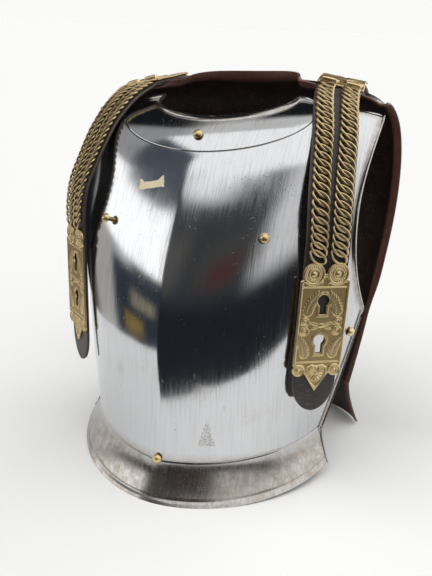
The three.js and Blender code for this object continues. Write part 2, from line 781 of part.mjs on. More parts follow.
// The sag: the higher a point and the further from the middle, the more it is raised or lowered.
for (const mesh of cuirass.children) {
  mesh.updateMatrix();
  mesh.geometry.applyMatrix4(mesh.matrix);
  mesh.position.set(0, 0, 0);
  mesh.quaternion.identity();
  const points = mesh.geometry.attributes.position;
  for (let i = 0; i < points.count; i += 1) {
    const share = THREE.MathUtils.smoothstep(points.getZ(i), LEAN.from, LEAN.to);
    points.setZ(i, points.getZ(i) + LEAN.slope * share * points.getX(i));
  }
  mesh.geometry.computeVertexNormals();
}

// The origin is the middle of the foot of the whole cuirass.
const box = new THREE.Box3().setFromObject(cuirass, true);
const centre = box.getCenter(new THREE.Vector3());
cuirass.position.set(-centre.x, -centre.y, -box.min.z);

export default cuirass;
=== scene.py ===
from math import asin, atan2, cos, degrees, pi, radians, sin

import bpy
import numpy as np
from mathutils import Matrix, Vector


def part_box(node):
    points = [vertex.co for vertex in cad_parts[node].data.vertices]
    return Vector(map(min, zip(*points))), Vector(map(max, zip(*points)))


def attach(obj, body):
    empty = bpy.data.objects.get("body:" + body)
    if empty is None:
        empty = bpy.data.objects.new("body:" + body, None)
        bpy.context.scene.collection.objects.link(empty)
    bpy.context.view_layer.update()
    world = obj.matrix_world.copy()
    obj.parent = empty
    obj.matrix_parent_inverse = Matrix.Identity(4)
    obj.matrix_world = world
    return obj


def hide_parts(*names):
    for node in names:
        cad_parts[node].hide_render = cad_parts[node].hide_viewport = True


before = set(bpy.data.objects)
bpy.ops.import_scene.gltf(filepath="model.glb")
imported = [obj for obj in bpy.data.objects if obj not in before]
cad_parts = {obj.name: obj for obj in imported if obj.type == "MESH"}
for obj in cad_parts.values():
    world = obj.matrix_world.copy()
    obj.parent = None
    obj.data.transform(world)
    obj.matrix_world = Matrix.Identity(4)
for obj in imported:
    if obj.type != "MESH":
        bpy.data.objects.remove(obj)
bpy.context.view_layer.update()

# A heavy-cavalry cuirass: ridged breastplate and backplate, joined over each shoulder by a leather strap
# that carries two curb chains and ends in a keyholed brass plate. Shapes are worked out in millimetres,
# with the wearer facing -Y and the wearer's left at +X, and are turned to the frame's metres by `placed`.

MM = 0.001

# ---- Driving dimensions --------------------------------------------------------------------------

SHEET = 2.0  # thickness of both plates
GAP = 0.4  # clearance between pieces that lie on each other
SAG = {"low": 200, "high": 390, "slope": 0.05}  # the top has sunk towards the wearer's right
BLUNT_RIDGE = 0.3  # how round the ridge is where it has faded

BREAST = {
    "station": [40, 120, 200, 270, 320, 370, 405],
    "middle_y": [-172.5, -172, -168, -144, -118, -75, -16],
    "middle_z": [40, 120, 200, 270, 320, 370, 389],
    "side_z": [40, 120, 200, 270, 320, 370, 377],
    "half_width": [135, 149, 161, 171, 169, 163, 150],
    "side_y": [-14, -4, 5, 9, 12, 13, 14],
    "crease": 0.12,
    "ridge_fade": (200, 372),
    "fullness": 0.93,
    "waist": (40, 50, 76),  # station at the middle line, station at the side and angle at the side
    "tip": (87, 173),
    "armhole_middle": (62, 270),
    "shoulder_outer": (74, 371),
    "shoulder_inner": (31, 400),
    "neck_middle": 368,
    "neck_share": 0.5,
    "tip_share": 0.36,
    "rim": {"middle": 18, "side": 14, "lift": 12, "flat": 0.25, "back": 3},
    "lip": {"neck": 4.5, "shoulder": 1.5, "armhole": 3.5, "side": 3.5},
}

BACK = {
    "station": [50, 120, 200, 270, 335, 385, 425, 480],
    "middle_y": [104, 107, 127, 139, 133, 107, 62, 2],
    "middle_z": [50, 120, 200, 270, 335, 384, 403, 398],
    "side_z": [50, 120, 198, 262, 318, 352, 368, 372],
    "half_width": [139, 150, 160, 167, 168, 163, 157, 154],
    "side_y": [30, 26, 24, 27, 29, 28, 22, 10],
    "crease": 0,
    "ridge_fade": (325, 360),
    "fullness": 0.85,
    "waist": (50, 60, 76),
    "tip": (83, 172),
    "armhole_middle": (80, 300),
    "shoulder_outer": (75, 462),
    "shoulder_inner": (28, 468),
    "neck_middle": 416,
    "neck_share": 0.5,
    "tip_share": 0.32,
    "rim": {"middle": 24, "side": 15, "lift": 4, "flat": 0.3, "back": 8},
    "lip": {"neck": 9, "shoulder": 1.5, "armhole": 7, "side": 3},
}

GRID = {"columns": 76, "rows": 92, "rim_rows": 18, "lip_steps": 8, "lip_turn": 80, "even_rounds": 700}
LIP_RADIUS = 4  # of the turned edges, on the average, for the wear that follows them
FAR = {"from_neck": 400.0, "from_collar": 50}  # farther than any wear or line reaches
WAIST_LINE = {"depth": 0.45, "half": 1.6}  # the line cut round the waist, in mm
RIM_LINE = {"depth": 0.5, "half": 2.0, "above": 5.0}
COLLAR = {"half_width": 105, "middle": 343, "rise": 34}  # the engraved line that follows the neck

STRAP = {
    "width": 45,
    "thickness": 3,
    "tongue": 34,
    "rise": 4.2,
    "on_back": [(39, 388), (40, 410), (41.5, 432), (43.5, 454)],
    "line": [
        (111.5, 2, 396),
        (113, -10, 393.5),
        (118.3, -32, 382.5),
        (126, -54.7, 360.4),
        (132, -77, 327),
        (136.5, -91.5, 298),
        (138.6, -96.4, 270),
        (138.2, -97, 250),
        (137, -98, 200),
        (136, -99, 150),
        (135, -100, 95),
    ],
    "across": [
        (0.97, 0.05, -0.24),
        (0.97, 0.08, -0.17),
        (0.94, 0.2, -0.25),
        (0.88, 0.35, -0.25),
        (0.84, 0.5, -0.12),
        (0.81, 0.57, -0.04),
    ]
    + 5 * [(0.8, 0.6, 0)],
}
LEATHER_TOP = STRAP["thickness"] / 2 + GAP
CUTTER_REACH = 12

CHAIN = {
    "links": 26,
    "pitch": 7.2,
    "low": 10.4,  # from the strap's middle line at the front plate
    "high": 12.6,  # and at the shoulder
    "long": 9.3,  # half of a link's length, to the middle of its wire
    "short": 4.7,
    "wire": 1.2,
    "lean": 36,
    "twist": -1.3,
    "height": 4.6,
    "gap": 1.5,  # from the last link to the front plate
}

BAR = {"width": 15, "length": 6, "height": 4.5}
REAR_PLATE = {
    "thickness": 1.8,
    "half_width": 24,
    "length": 66,
    "rise": 0.8,
    "rosette": 9.8,
    "rosette_gap": 0.9,
}
FRONT_PLATE = {
    "thickness": 1.5,
    "half_width": 25,
    "rosette": 11,
    "rosette_x": 12.2,
    "body_top": 18,
    "body_end": 104,
    "corner": 6.5,
    "corner_x": 18.5,
    "corner_drop": 109.5,
    "shield_half": 12,
    "point": 132,
    "keyholes": (37, 78),
    "keyhole": 5.9,
    "slot_half": 3.3,
    "slot_length": 14,
    "below": 23,  # leather that shows past the point
    "lift": 0.5,
    "leather_hole": 0.6,  # the hole in the leather is wider by this all round
    "lines": (23.5, 100.5),
}
STUD = {"head": 5.0, "height": 4.6, "shank": 2.4}
STUDS = {
    "neck_stud": ((0, 355), 0.6),
    "chest_stud_left": ((29, 270), 5),
    "chest_stud_right": ((-29, 270), 5),
    "waist_stud": ((0, 41.5), 0.6),
    "side_stud_left": ((79, 159), 0.6),
    "side_stud_right": ((-79, 159), 0.6),
}
RIVET = {"head": 4.5, "height": 2.4, "shank": 2.0, "reach": 3.6, "from_end": 14, "sideways": 12.5}

# Marks on the breastplate, in the frame's metres.
PITTED = {"centre": (0.075, -0.08, 0.316), "half_size": (0.042, 0.05, 0.016)}
STAIN = {"x": 0.047, "top": 0.091, "bottom": 0.06, "half_width": 0.008}
LABEL = {"centre": (-0.038, -0.088, 0.3105), "half_size": (0.0175, 0.03, 0.006), "turn": radians(-14)}

# ---- Small tools ---------------------------------------------------------------------------------


def mix(a, b, t):
    return a + (b - a) * t


def smoothstep(x, low, high):
    t = np.clip((np.asarray(x, float) - low) / (high - low), 0, 1)
    return t * t * (3 - 2 * t)


def unit(vectors):
    return vectors / np.maximum(np.linalg.norm(vectors, axis=-1, keepdims=True), 1e-12)


def dot(a, b):
    return (a * b).sum(-1, keepdims=True)


def smooth_curve(keys, values):
    """The smoothest curve through the values (a natural cubic spline), carried on straight past its
    ends."""
    keys = np.array(keys, float)
    values = np.array(values, float)
    last = len(keys) - 1
    span = np.diff(keys)
    slope = np.diff(values) / span
    system = np.eye(last + 1)
    rise = np.zeros(last + 1)
    for i in range(1, last):
        system[i, i - 1 : i + 2] = span[i - 1], 2 * (span[i - 1] + span[i]), span[i]
        rise[i] = 6 * (slope[i] - slope[i - 1])
    bend = np.linalg.solve(system, rise)
    first_slope = slope[0] - span[0] * bend[1] / 6
    last_slope = slope[-1] + span[-1] * bend[-2] / 6

    def curve(x):
        x = np.asarray(x, float)
        i = np.clip(np.searchsorted(keys, x) - 1, 0, last - 1)
        h = span[i]
        a = (keys[i + 1] - x) / h
        c = (x - keys[i]) / h
        inside = a * values[i] + c * values[i + 1]
        inside = inside + ((a**3 - a) * bend[i] + (c**3 - c) * bend[i + 1]) * h * h / 6
        below = values[0] + (x - keys[0]) * first_slope
        above = values[-1] + (x - keys[-1]) * last_slope
        return np.where(x < keys[0], below, np.where(x > keys[-1], above, inside))

    return curve


# ---- Plates --------------------------------------------------------------------------------------


def plate_surface(plate):
    """The outer surface of a plate: a point for an angle round from its middle line, in degrees, and a
    station."""
    names = ("middle_y", "middle_z", "side_z", "half_width", "side_y")
    middle_y, middle_z, side_z, half_width, side_y = (
        smooth_curve(plate["station"], plate[name]) for name in names
    )

    def surface(angle, station, ridge=1.0):
        turn = np.radians(angle)
        round_share = np.maximum(np.cos(turn), 0) ** plate["fullness"]
        sharp = 1 - np.abs(np.sin(turn))
        whole = np.hypot(1, BLUNT_RIDGE) - BLUNT_RIDGE
        blunt = 1 - (np.hypot(np.sin(turn), BLUNT_RIDGE) - BLUNT_RIDGE) / whole
        sharp_share = ridge * (1 - smoothstep(station, *plate["ridge_fade"]))
        share = mix(round_share, mix(blunt, sharp, sharp_share), plate["crease"])
        return np.stack(
            [
                half_width(station) * np.sin(turn),
                mix(side_y(station), middle_y(station), share),
                mix(side_z(station), middle_z(station), share),
            ],
            -1,
        )

    return surface


def plate_normal(surface, angle, station, step=0.5):
    """The outward normal of a plate's surface."""
    around = surface(angle + step, station) - surface(angle - step, station)
    up = surface(angle, station + step) - surface(angle, station - step)
    normal = unit(np.cross(around, up))
    outward = surface(angle, station).copy()
    outward[..., 1] = surface(np.zeros_like(angle), station)[..., 1]
    outward[..., 2] = 0
    return np.where(dot(normal, outward) < 0, -normal, normal)


def curve_through(a, m, b):
    """A quadratic curve from a to b that passes through m half-way."""
    a, m, b = (np.array(point, float) for point in (a, m, b))
    control = 2 * m - (a + b) / 2

    def curve(t):
        t = t[..., None]
        return (1 - t) ** 2 * a + (2 * t * (1 - t)) * control + t**2 * b

    return curve


def plate_patch(plate):
    """A chart of half a plate: shares u (middle line to side) and v (waist to neck) give an angle and a
    station."""
    waist_middle, waist_side, waist_angle = plate["waist"]
    tip = plate["tip"]
    tip_share = plate["tip_share"]
    neck_share = plate["neck_share"]
    neck_middle = plate["neck_middle"]
    inner = plate["shoulder_inner"]
    outer = plate["shoulder_outer"]
    armhole = curve_through(tip, plate["armhole_middle"], outer)

    def bottom(u):
        return np.stack([waist_angle * u, mix(waist_middle, waist_side, u * u)], -1)

    def side(v):
        low = np.clip(v / tip_share, 0, 1)
        high = np.clip((v - tip_share) / (1 - tip_share), 0, 1)
        below = np.stack([mix(waist_angle, tip[0], low), mix(waist_side, tip[1], low)], -1)
        return np.where((v < tip_share)[..., None], below, armhole(high))

    def top(u):
        turn = np.clip(u / neck_share, 0, 1) * pi / 2
        neck = np.stack([inner[0] * np.sin(turn), mix(neck_middle, inner[1], 1 - np.cos(turn))], -1)
        t = np.clip((u - neck_share) / (1 - neck_share), 0, 1)
        shoulder = np.stack([mix(inner[0], outer[0], t), mix(inner[1], outer[1], t)], -1)
        return np.where((u >= neck_share)[..., None], shoulder, neck)

    def middle(v):
        return np.stack([0 * v, mix(waist_middle, neck_middle, v)], -1)

    def patch(u, v):
        us, vs = u[..., None], v[..., None]
        ruled = mix(bottom(u), top(u), vs) + mix(middle(v), side(v), us)
        zero, one = np.zeros(1), np.ones(1)
        low = mix(bottom(zero), bottom(one), us)
        high = mix(top(zero), top(one), us)
        return ruled - mix(low, high, vs)

    return patch


def relaxed(chart, share):
    """Evens out a chart's grid away from the waist, so that no cell is a sliver beside a corner of the
    outline."""
    chart = chart.copy()
    scale = np.array([2.9, 1.0])  # a degree is about as long as 2.9 steps up the plate
    points = chart * scale
    weight = smoothstep(share[1:-1, 1:-1], 0.12, 0.4)[..., None]
    for _ in range(GRID["even_rounds"]):
        around = points[:-2, 1:-1] + points[2:, 1:-1] + points[1:-1, :-2] + points[1:-1, 2:]
        points[1:-1, 1:-1] += weight * (around / 4 - points[1:-1, 1:-1])
    return points / scale


def rolled(radius, away, normal, steps):
    """Points of an edge that rolls round a radius, from the way the sheet was going towards its
    outside."""
    turn = np.radians(GRID["lip_turn"]) * np.arange(1, steps + 1) / steps
    shape = [-1] + [1] * radius.ndim + [1]
    along = np.sin(turn).reshape(shape) * radius[..., None] * away
    out = (1 - np.cos(turn)).reshape(shape) * radius[..., None] * normal
    return along + out


def away_from_edge(point, inside, before, after, normal):
    """The direction that leaves a plate across its edge, square to the edge and to the plate."""
    away = unit(np.cross(unit(after - before), normal))
    return np.where(dot(away, point - inside) < 0, -away, away)


def half_plate(plate):
    """Rows of points over the right half of a plate's outer surface, with their distance from its free
    edges."""
    surface = plate_surface(plate)
    patch = plate_patch(plate)
    columns, steps = GRID["columns"], GRID["lip_steps"]
    shares = np.arange(columns + 1) / columns
    close = np.array([0.35, 0.75, 1.1, 1.5, 2.2, 3.2]) / (plate["neck_middle"] - plate["waist"][0])
    heights = np.concatenate([[0], close, np.linspace(0, 1, GRID["rows"])[1:]])
    heights.sort()
    u, v = np.meshgrid(shares, heights)
    chart = relaxed(patch(u, v), v)
    angle, station = chart[..., 0], chart[..., 1]
    body = surface(angle, station)
    normal = plate_normal(surface, angle, station)
    normal[:, 0, 0] = 0
    normal = unit(normal)

    # A line is cut round the waist, and dies away on the rows beside it.
    above_waist = v * (plate["neck_middle"] - plate["waist"][0])
    groove = WAIST_LINE["depth"] * (1 - smoothstep(above_waist, 0, WAIST_LINE["half"]))
    body -= groove[..., None] * normal

    # The side edge and the armhole roll outwards.
    lip, tip_share, neck_share = plate["lip"], plate["tip_share"], plate["neck_share"]
    edge = body[:, -1]
    before = np.vstack([edge[:1], edge[:-1]])
    after = np.vstack([edge[1:], edge[-1:]])
    away = away_from_edge(edge, body[:, -2], before, after, normal[:, -1])
    radius = mix(lip["side"], lip["armhole"], smoothstep(heights, tip_share - 0.05, tip_share + 0.1))
    side_lip = np.moveaxis(rolled(radius, away, normal[:, -1], steps), 0, 1)
    rows = np.concatenate([body, edge[:, None] + side_lip], 1)

    # The neck rolls outwards, and the roll dies away along the shoulder.
    top = body[-1]
    after = np.vstack([top[1:], top[-1:]])
    before = np.vstack([top[1] * (-1, 1, 1), top[:-1]])
    away = away_from_edge(top, body[-2], before, after, normal[-1])
    radius = mix(lip["neck"], lip["shoulder"], smoothstep(shares, neck_share, neck_share + 0.12))
    top_lip = rolled(radius, away, normal[-1], steps)
    top_rows = top + top_lip
    corner = top_rows[:, -1:] + side_lip[-1]
    rows = np.concatenate([rows, np.concatenate([top_rows, corner], 1)])

    # Below the waist line the plate flares out to its rim, which is turned and lined.
    rim = plate["rim"]
    waist_middle, waist_side, _ = plate["waist"]
    count = GRID["rim_rows"]
    drops = np.sort(
        np.concatenate([np.arange(1, count + 1) / count, [0.02, 0.04, 0.8, 0.83, 0.86, 0.92, 0.97]])
    )
    t = drops[:, None]
    flared = surface(angle[:1] + 0 * t, station[:1] + 0 * t, 1 - t)
    flare = mix(rim["middle"], rim["side"], shares**2) * t**1.6
    line = (1 - t) * waist_middle - RIM_LINE["above"]
    flare = flare - RIM_LINE["depth"] * np.clip(1 - (line / RIM_LINE["half"]) ** 2, 0, 1) ** 2
    flare = flare - WAIST_LINE["depth"] * (1 - smoothstep(t * waist_middle, 0, WAIST_LINE["half"]))
    outward = unit(normal[0] * (1, 1, 0))
    flared = flared + flare[..., None] * outward
    flared[..., 1] += np.sign(plate["middle_y"][0]) * rim["back"] * shares**4 * t
    lift = rim["lift"] * np.maximum(0, (shares - rim["flat"]) / (1 - rim["flat"])) ** 2
    flared[..., 2] = mix(mix(waist_middle, waist_side, shares**2), lift, t)
    flared[:, 0, 0] = 0
    shrink = (1 - 0.6 * t)[..., None]
    corner = flared[:, -1:] + side_lip[0] * (1, 1, 0) * shrink
    flared = np.concatenate([flared, corner], 1)
    rows = np.concatenate([flared[::-1], rows])

    # Measures that the finishes follow: how far each point is from a free edge, the collar line and the
    # waist line.
    lip_length = np.radians(GRID["lip_turn"]) * np.arange(1, steps + 1) / steps * LIP_RADIUS
    across_columns = np.concatenate(
        [np.zeros(1), np.cumsum(np.linalg.norm(np.diff(body[len(body) // 2], axis=0), axis=1))]
    )
    from_side = np.concatenate([across_columns[-1] - across_columns, -lip_length])
    from_neck = (1 - heights) * (plate["neck_middle"] - plate["waist"][0])
    from_neck = np.concatenate([np.full(len(drops), FAR["from_neck"]), from_neck, -lip_length])
    edge_distance = np.minimum(from_side[None, :], from_neck[:, None])
    return rows, edge_distance


def shell(rows, outward_y):
    """The inner surface of a plate: every point of the outer one moved in by the thickness of the
    sheet."""
    along = np.gradient(rows, axis=1)
    up = np.gradient(rows, axis=0)
    normal = unit(-outward_y * np.cross(along, up))
    normal[0, :, 2] = 0
    normal[0] = unit(normal[0])
    return rows - SHEET * normal


def grid_faces(height, width, offset=0, flip=False):
    """Quads of a grid of points."""
    j, i = np.meshgrid(np.arange(height - 1), np.arange(width - 1), indexing="ij")
    a = (j * width + i + offset).ravel()
    quads = np.stack([a, a + 1, a + width + 1, a + width], 1)
    return quads[:, ::-1] if flip else quads


def wall_faces(loop, offset):
    """Quads that join a closed loop of points to the same loop of another sheet."""
    loop = np.asarray(loop)
    after = np.roll(loop, -1)
    return np.stack([loop, loop + offset, after + offset, after], 1)


def closed_sheet(outer, inner):
    """Points and faces of a sheet with an outer and an inner surface."""
    height, width = outer.shape[:2]
    count = height * width
    points = np.concatenate([outer.reshape(-1, 3), inner.reshape(-1, 3)])
    index = np.arange(count).reshape(height, width)
    loop = np.concatenate([index[0, :-1], index[:-1, -1], index[-1, :0:-1], index[:0:-1, 0]])
    faces = np.concatenate(
        [grid_faces(height, width), grid_faces(height, width, count, True), wall_faces(loop, count)]
    )
    return points, faces


# ---- Putting shapes into the frame ---------------------------------------------------------------


def plate_grid(plate):
    """A whole plate's outer and inner points, and their distance from its free edges."""
    right, edge_distance = half_plate(plate)
    left = right[:, :0:-1] * (-1, 1, 1)
    rows = np.concatenate([left, right], 1)
    distance = np.concatenate([edge_distance[:, :0:-1], edge_distance], 1)
    return rows, shell(rows, np.sign(plate["middle_y"][0])), distance


breast_outer, breast_inner, breast_edge = plate_grid(BREAST)
back_outer, back_inner, back_edge = plate_grid(BACK)
foot_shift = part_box("breastplate")[0].y / MM - breast_outer[..., 1].min()


def placed(points, mirrored=False):
    """From the shapes' millimetres to the frame's metres: mirrored if asked, sagged and moved over the
    foot."""
    points = np.array(points, float).reshape(-1, 3)
    if mirrored:
        points[:, 0] *= -1
    points[:, 2] += SAG["slope"] * smoothstep(points[:, 2], SAG["low"], SAG["high"]) * points[:, 0]
    points[:, 1] += foot_shift
    return points * MM


def facing_out(points, faces):
    """The faces of a closed shape, turned round if they point inwards."""
    volume = 0.0
    for size in {len(face) for face in faces}:
        group = np.array([face for face in faces if len(face) == size])
        for k in range(1, size - 1):
            a, b, c = points[group[:, 0]], points[group[:, k]], points[group[:, k + 1]]
            volume += (a * np.cross(b, c)).sum()
    return faces if volume > 0 else [face[::-1] for face in faces]


def new_piece(name, points, faces, material, measures=None, sharp=35):
    """A smooth-shaded object from points in metres, with one number per point for each of its
    measures."""
    mesh = bpy.data.meshes.new(name)
    faces = facing_out(points, faces if isinstance(faces, list) else faces.tolist())
    mesh.from_pydata(points.tolist(), [], faces)
    for measure, values in (measures or {}).items():
        attribute = mesh.attributes.new(measure, "FLOAT", "POINT")
        attribute.data.foreach_set("value", np.ascontiguousarray(values, dtype=np.float32).ravel())
    mesh.shade_smooth()
    mesh.set_sharp_from_angle(angle=radians(sharp))
    mesh.materials.append(material)
    piece = bpy.data.objects.new(name, mesh)
    bpy.context.scene.collection.objects.link(piece)
    return piece


def settle(piece, slot, *nodes):
    """Fixes a finished piece to the cuirass, in place of the CAD nodes that it stands for."""
    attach(piece, "root")
    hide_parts(*nodes)
    return piece


def baked(piece):
    """Turns a piece and its modifiers into a plain mesh."""
    evaluated = piece.evaluated_get(bpy.context.evaluated_depsgraph_get())
    mesh = bpy.data.meshes.new_from_object(evaluated)
    piece.modifiers.clear()
    piece.data = mesh
    return piece


# ---- Node trees ----------------------------------------------------------------------------------


def add(tree, kind, inputs=None, **settings):
    """Adds a node. Settings are its own; inputs are its sockets' values, or the nodes and sockets that
    feed them."""
    node = tree.nodes.new(kind)
    for name, value in settings.items():
        setattr(node, name, value)
    for key, value in (inputs or {}).items():
        if isinstance(value, bpy.types.Node):
            value = next(socket for socket in value.outputs if socket.enabled)
        if isinstance(value, bpy.types.NodeSocket):
            tree.links.new(value, node.inputs[key])
        else:
            node.inputs[key].default_value = value
    return node


def colour(hex_value):
    """Linear RGBA from an sRGB hex value."""
    channels = [int(hex_value[k : k + 2], 16) / 255 for k in (1, 3, 5)]
    linear = [c / 12.92 if c <= 0.04045 else ((c + 0.055) / 1.055) ** 2.4 for c in channels]
    return (*linear, 1)


def new_material(name):
    material = bpy.data.materials.new(name)
    material.use_nodes = True
    material.node_tree.nodes.clear()
    return material, material.node_tree


def per_metre(size_mm):
    """A texture's scale for features of a size in millimetres."""
    return 1 / (size_mm * MM)


def polished_steel():
    """Hand-burnished armour steel: hammered to shape, ground upright and polished. It mirrors its
    surroundings with a slight blur. Its age shows in a duller, browner rim, a few pits, hairline
    scratches, an engraved line that follows the neck and the remnant of a paper label. The engraved
    line's groove is tinted darker: painted shade."""
    material, tree = new_material("burnished_armour_steel")
    place = add(tree, "ShaderNodeTexCoord").outputs["Object"]
    axes = add(tree, "ShaderNodeSeparateXYZ", {0: place}).outputs
    edge = add(tree, "ShaderNodeAttribute", attribute_name="edge_mm").outputs["Fac"]

    # Grey-brown oxide: even on the flared rim, faint in patches elsewhere and along the edges.
    clouds = add(
        tree,
        "ShaderNodeTexNoise",
        {"Vector": place, "Scale": per_metre(38), "Detail": 6, "Roughness": 0.62},
    )
    fine = add(
        tree, "ShaderNodeTexNoise", {"Vector": place, "Scale": per_metre(9), "Detail": 8, "Roughness": 0.7}
    )
    bloom = add(
        tree, "ShaderNodeMapRange", {0: clouds, 1: 0.5, 2: 0.85, 4: 0.35}, interpolation_type="SMOOTHSTEP"
    )
    low = add(tree, "ShaderNodeMapRange", {0: axes["Z"], 1: 0.034, 2: 0.05, 3: 1.0, 4: 0.0})
    mottle = add(tree, "ShaderNodeMapRange", {0: fine, 1: 0.35, 2: 0.62, 3: 0.45, 4: 1.0})
    rim = add(tree, "ShaderNodeMath", {0: low, 1: mottle}, operation="MULTIPLY")
    near_edge = add(tree, "ShaderNodeMapRange", {0: edge, 1: -2.0, 2: 5.0, 3: 0.9, 4: 0.0})
    edge_dirt = add(tree, "ShaderNodeMath", {0: near_edge, 1: mottle}, operation="MULTIPLY")
    dirt = add(tree, "ShaderNodeMath", {0: rim, 1: edge_dirt}, operation="MAXIMUM")
    dirt = add(tree, "ShaderNodeMath", {0: dirt, 1: bloom}, operation="MAXIMUM")

    # Pits: small dark points, mostly gathered where the steel was once wet.
    cells = add(tree, "ShaderNodeTexVoronoi", {"Vector": place, "Scale": per_metre(2.6)})
    dots = add(
        tree, "ShaderNodeMapRange", {0: cells.outputs["Distance"], 1: 0.1, 2: 0.24, 3: 1.0, 4: 0.0}
    )
    wet = add(
        tree,
        "ShaderNodeMapping",
        {"Vector": place, "Location": PITTED["centre"], "Scale": PITTED["half_size"]},
        vector_type="TEXTURE",
    )
    wet = add(tree, "ShaderNodeVectorMath", {0: wet}, operation="LENGTH").outputs["Value"]
    wet = add(tree, "ShaderNodeMapRange", {0: wet, 1: 0.2, 2: 1.0, 3: 0.34, 4: 0.06})
    ragged = add(tree, "ShaderNodeMath", {0: fine, 1: wet})
    gathered = add(tree, "ShaderNodeMapRange", {0: ragged, 1: 0.63, 2: 0.72})
    pits = add(tree, "ShaderNodeMath", {0: dots, 1: gathered}, operation="MULTIPLY")

    # Upright grinding marks, and hairline scratches that lie across them.
    upright = add(tree, "ShaderNodeMapping", {"Vector": place, "Scale": (1, 0.08, 0.02)})
    grain = add(tree, "ShaderNodeTexNoise", {"Vector": upright, "Scale": per_metre(1.1), "Detail": 4})
    scratch = 0.0
    for turn, rarity in ((0.5, 0.74), (-0.9, 0.745), (1.35, 0.75)):
        slant = add(tree, "ShaderNodeMapping", {"Vector": place, "Rotation": (0, turn, 0)})
        slant = add(tree, "ShaderNodeMapping", {"Vector": slant, "Scale": (0.07, 0.3, 1)})
        strays = add(tree, "ShaderNodeTexNoise", {"Vector": slant, "Scale": per_metre(0.8), "Detail": 1})
        strays = add(tree, "ShaderNodeMapRange", {0: strays, 1: rarity, 2: rarity + 0.02})
        scratch = add(tree, "ShaderNodeMath", {0: strays, 1: scratch}, operation="MAXIMUM")

    # A dull triangular stain, made of specks, above the waist.
    widening = add(tree, "ShaderNodeMapRange", {0: axes["Z"], 1: STAIN["top"], 2: STAIN["bottom"]})
    half_width = add(tree, "ShaderNodeMath", {0: widening, 1: STAIN["half_width"]}, operation="MULTIPLY")
    beside = add(tree, "ShaderNodeMath", {0: axes["X"], 1: STAIN["x"]}, operation="SUBTRACT")
    beside = add(tree, "ShaderNodeMath", {0: beside}, operation="ABSOLUTE")
    stained = add(tree, "ShaderNodeMath", {0: beside, 1: half_width}, operation="LESS_THAN")
    ends = add(tree, "ShaderNodeMath", {0: axes["Z"], 1: STAIN["bottom"]}, operation="GREATER_THAN")
    stained = add(tree, "ShaderNodeMath", {0: stained, 1: ends}, operation="MULTIPLY")
    specks = add(tree, "ShaderNodeTexNoise", {"Vector": place, "Scale": per_metre(1.6), "Detail": 3})
    specks = add(tree, "ShaderNodeMapRange", {0: specks, 1: 0.42, 2: 0.6, 4: 0.85})
    stained = add(tree, "ShaderNodeMath", {0: stained, 1: specks}, operation="MULTIPLY")
    dirt = add(tree, "ShaderNodeMath", {0: dirt, 1: stained}, operation="MAXIMUM")

    # The engraved collar line: its bump cuts the groove, and the darker tint along it is painted shade in
    # the groove.
    collar = add(tree, "ShaderNodeAttribute", attribute_name="collar_mm").outputs["Fac"]
    off_line = add(tree, "ShaderNodeMath", {0: collar}, operation="ABSOLUTE")
    engraved = add(tree, "ShaderNodeMapRange", {0: off_line, 1: 0.15, 2: 0.8, 3: 1.0, 4: 0.0})

    tint = add(
        tree, "ShaderNodeMix", {0: dirt, 6: colour("#d0d1d3"), 7: colour("#a1978c")}, data_type="RGBA"
    )
    streaks = add(tree, "ShaderNodeMapRange", {0: grain, 1: 0.48, 2: 0.75, 4: 0.24})
    tint = add(tree, "ShaderNodeMix", {0: streaks, 6: tint, 7: colour("#8d8a86")}, data_type="RGBA")
    tint = add(tree, "ShaderNodeMix", {0: pits, 6: tint, 7: colour("#3f362e")}, data_type="RGBA")
    tint = add(tree, "ShaderNodeMix", {0: engraved, 6: tint, 7: colour("#6f675d")}, data_type="RGBA")
    dull = add(tree, "ShaderNodeMapRange", {0: dirt, 1: 0.0, 2: 1.0, 3: 0.09, 4: 0.24})
    ground = add(tree, "ShaderNodeMapRange", {0: grain, 1: 0.3, 2: 0.7, 3: -0.02, 4: 0.06})
    roughness = add(tree, "ShaderNodeMath", {0: dull, 1: ground})
    often = add(tree, "ShaderNodeMapRange", {0: clouds, 1: 0.44, 2: 0.6, 3: 0.1, 4: 0.7})
    scratch = add(tree, "ShaderNodeMath", {0: scratch, 1: often}, operation="MULTIPLY")
    marks = add(tree, "ShaderNodeMath", {0: scratch, 1: pits}, operation="MAXIMUM")
    scuffed = add(tree, "ShaderNodeMath", {0: marks, 1: 0.3}, operation="MULTIPLY")
    roughness = add(tree, "ShaderNodeMath", {0: roughness, 1: scuffed})

    waves = add(tree, "ShaderNodeTexNoise", {"Vector": place, "Scale": per_metre(45), "Detail": 1})
    bump = add(tree, "ShaderNodeBump", {"Height": waves, "Distance": 0.0012, "Strength": 0.25})
    bump = add(
        tree,
        "ShaderNodeBump",
        {"Height": engraved, "Distance": 0.0004, "Strength": 0.8, "Normal": bump},
        invert=True,
    )
    bump = add(
        tree, "ShaderNodeBump", {"Height": grain, "Distance": 0.00009, "Strength": 0.5, "Normal": bump}
    )
    steel = add(
        tree,
        "ShaderNodeBsdfPrincipled",
        {"Base Color": tint, "Metallic": 1.0, "Roughness": roughness, "Normal": bump},
    )

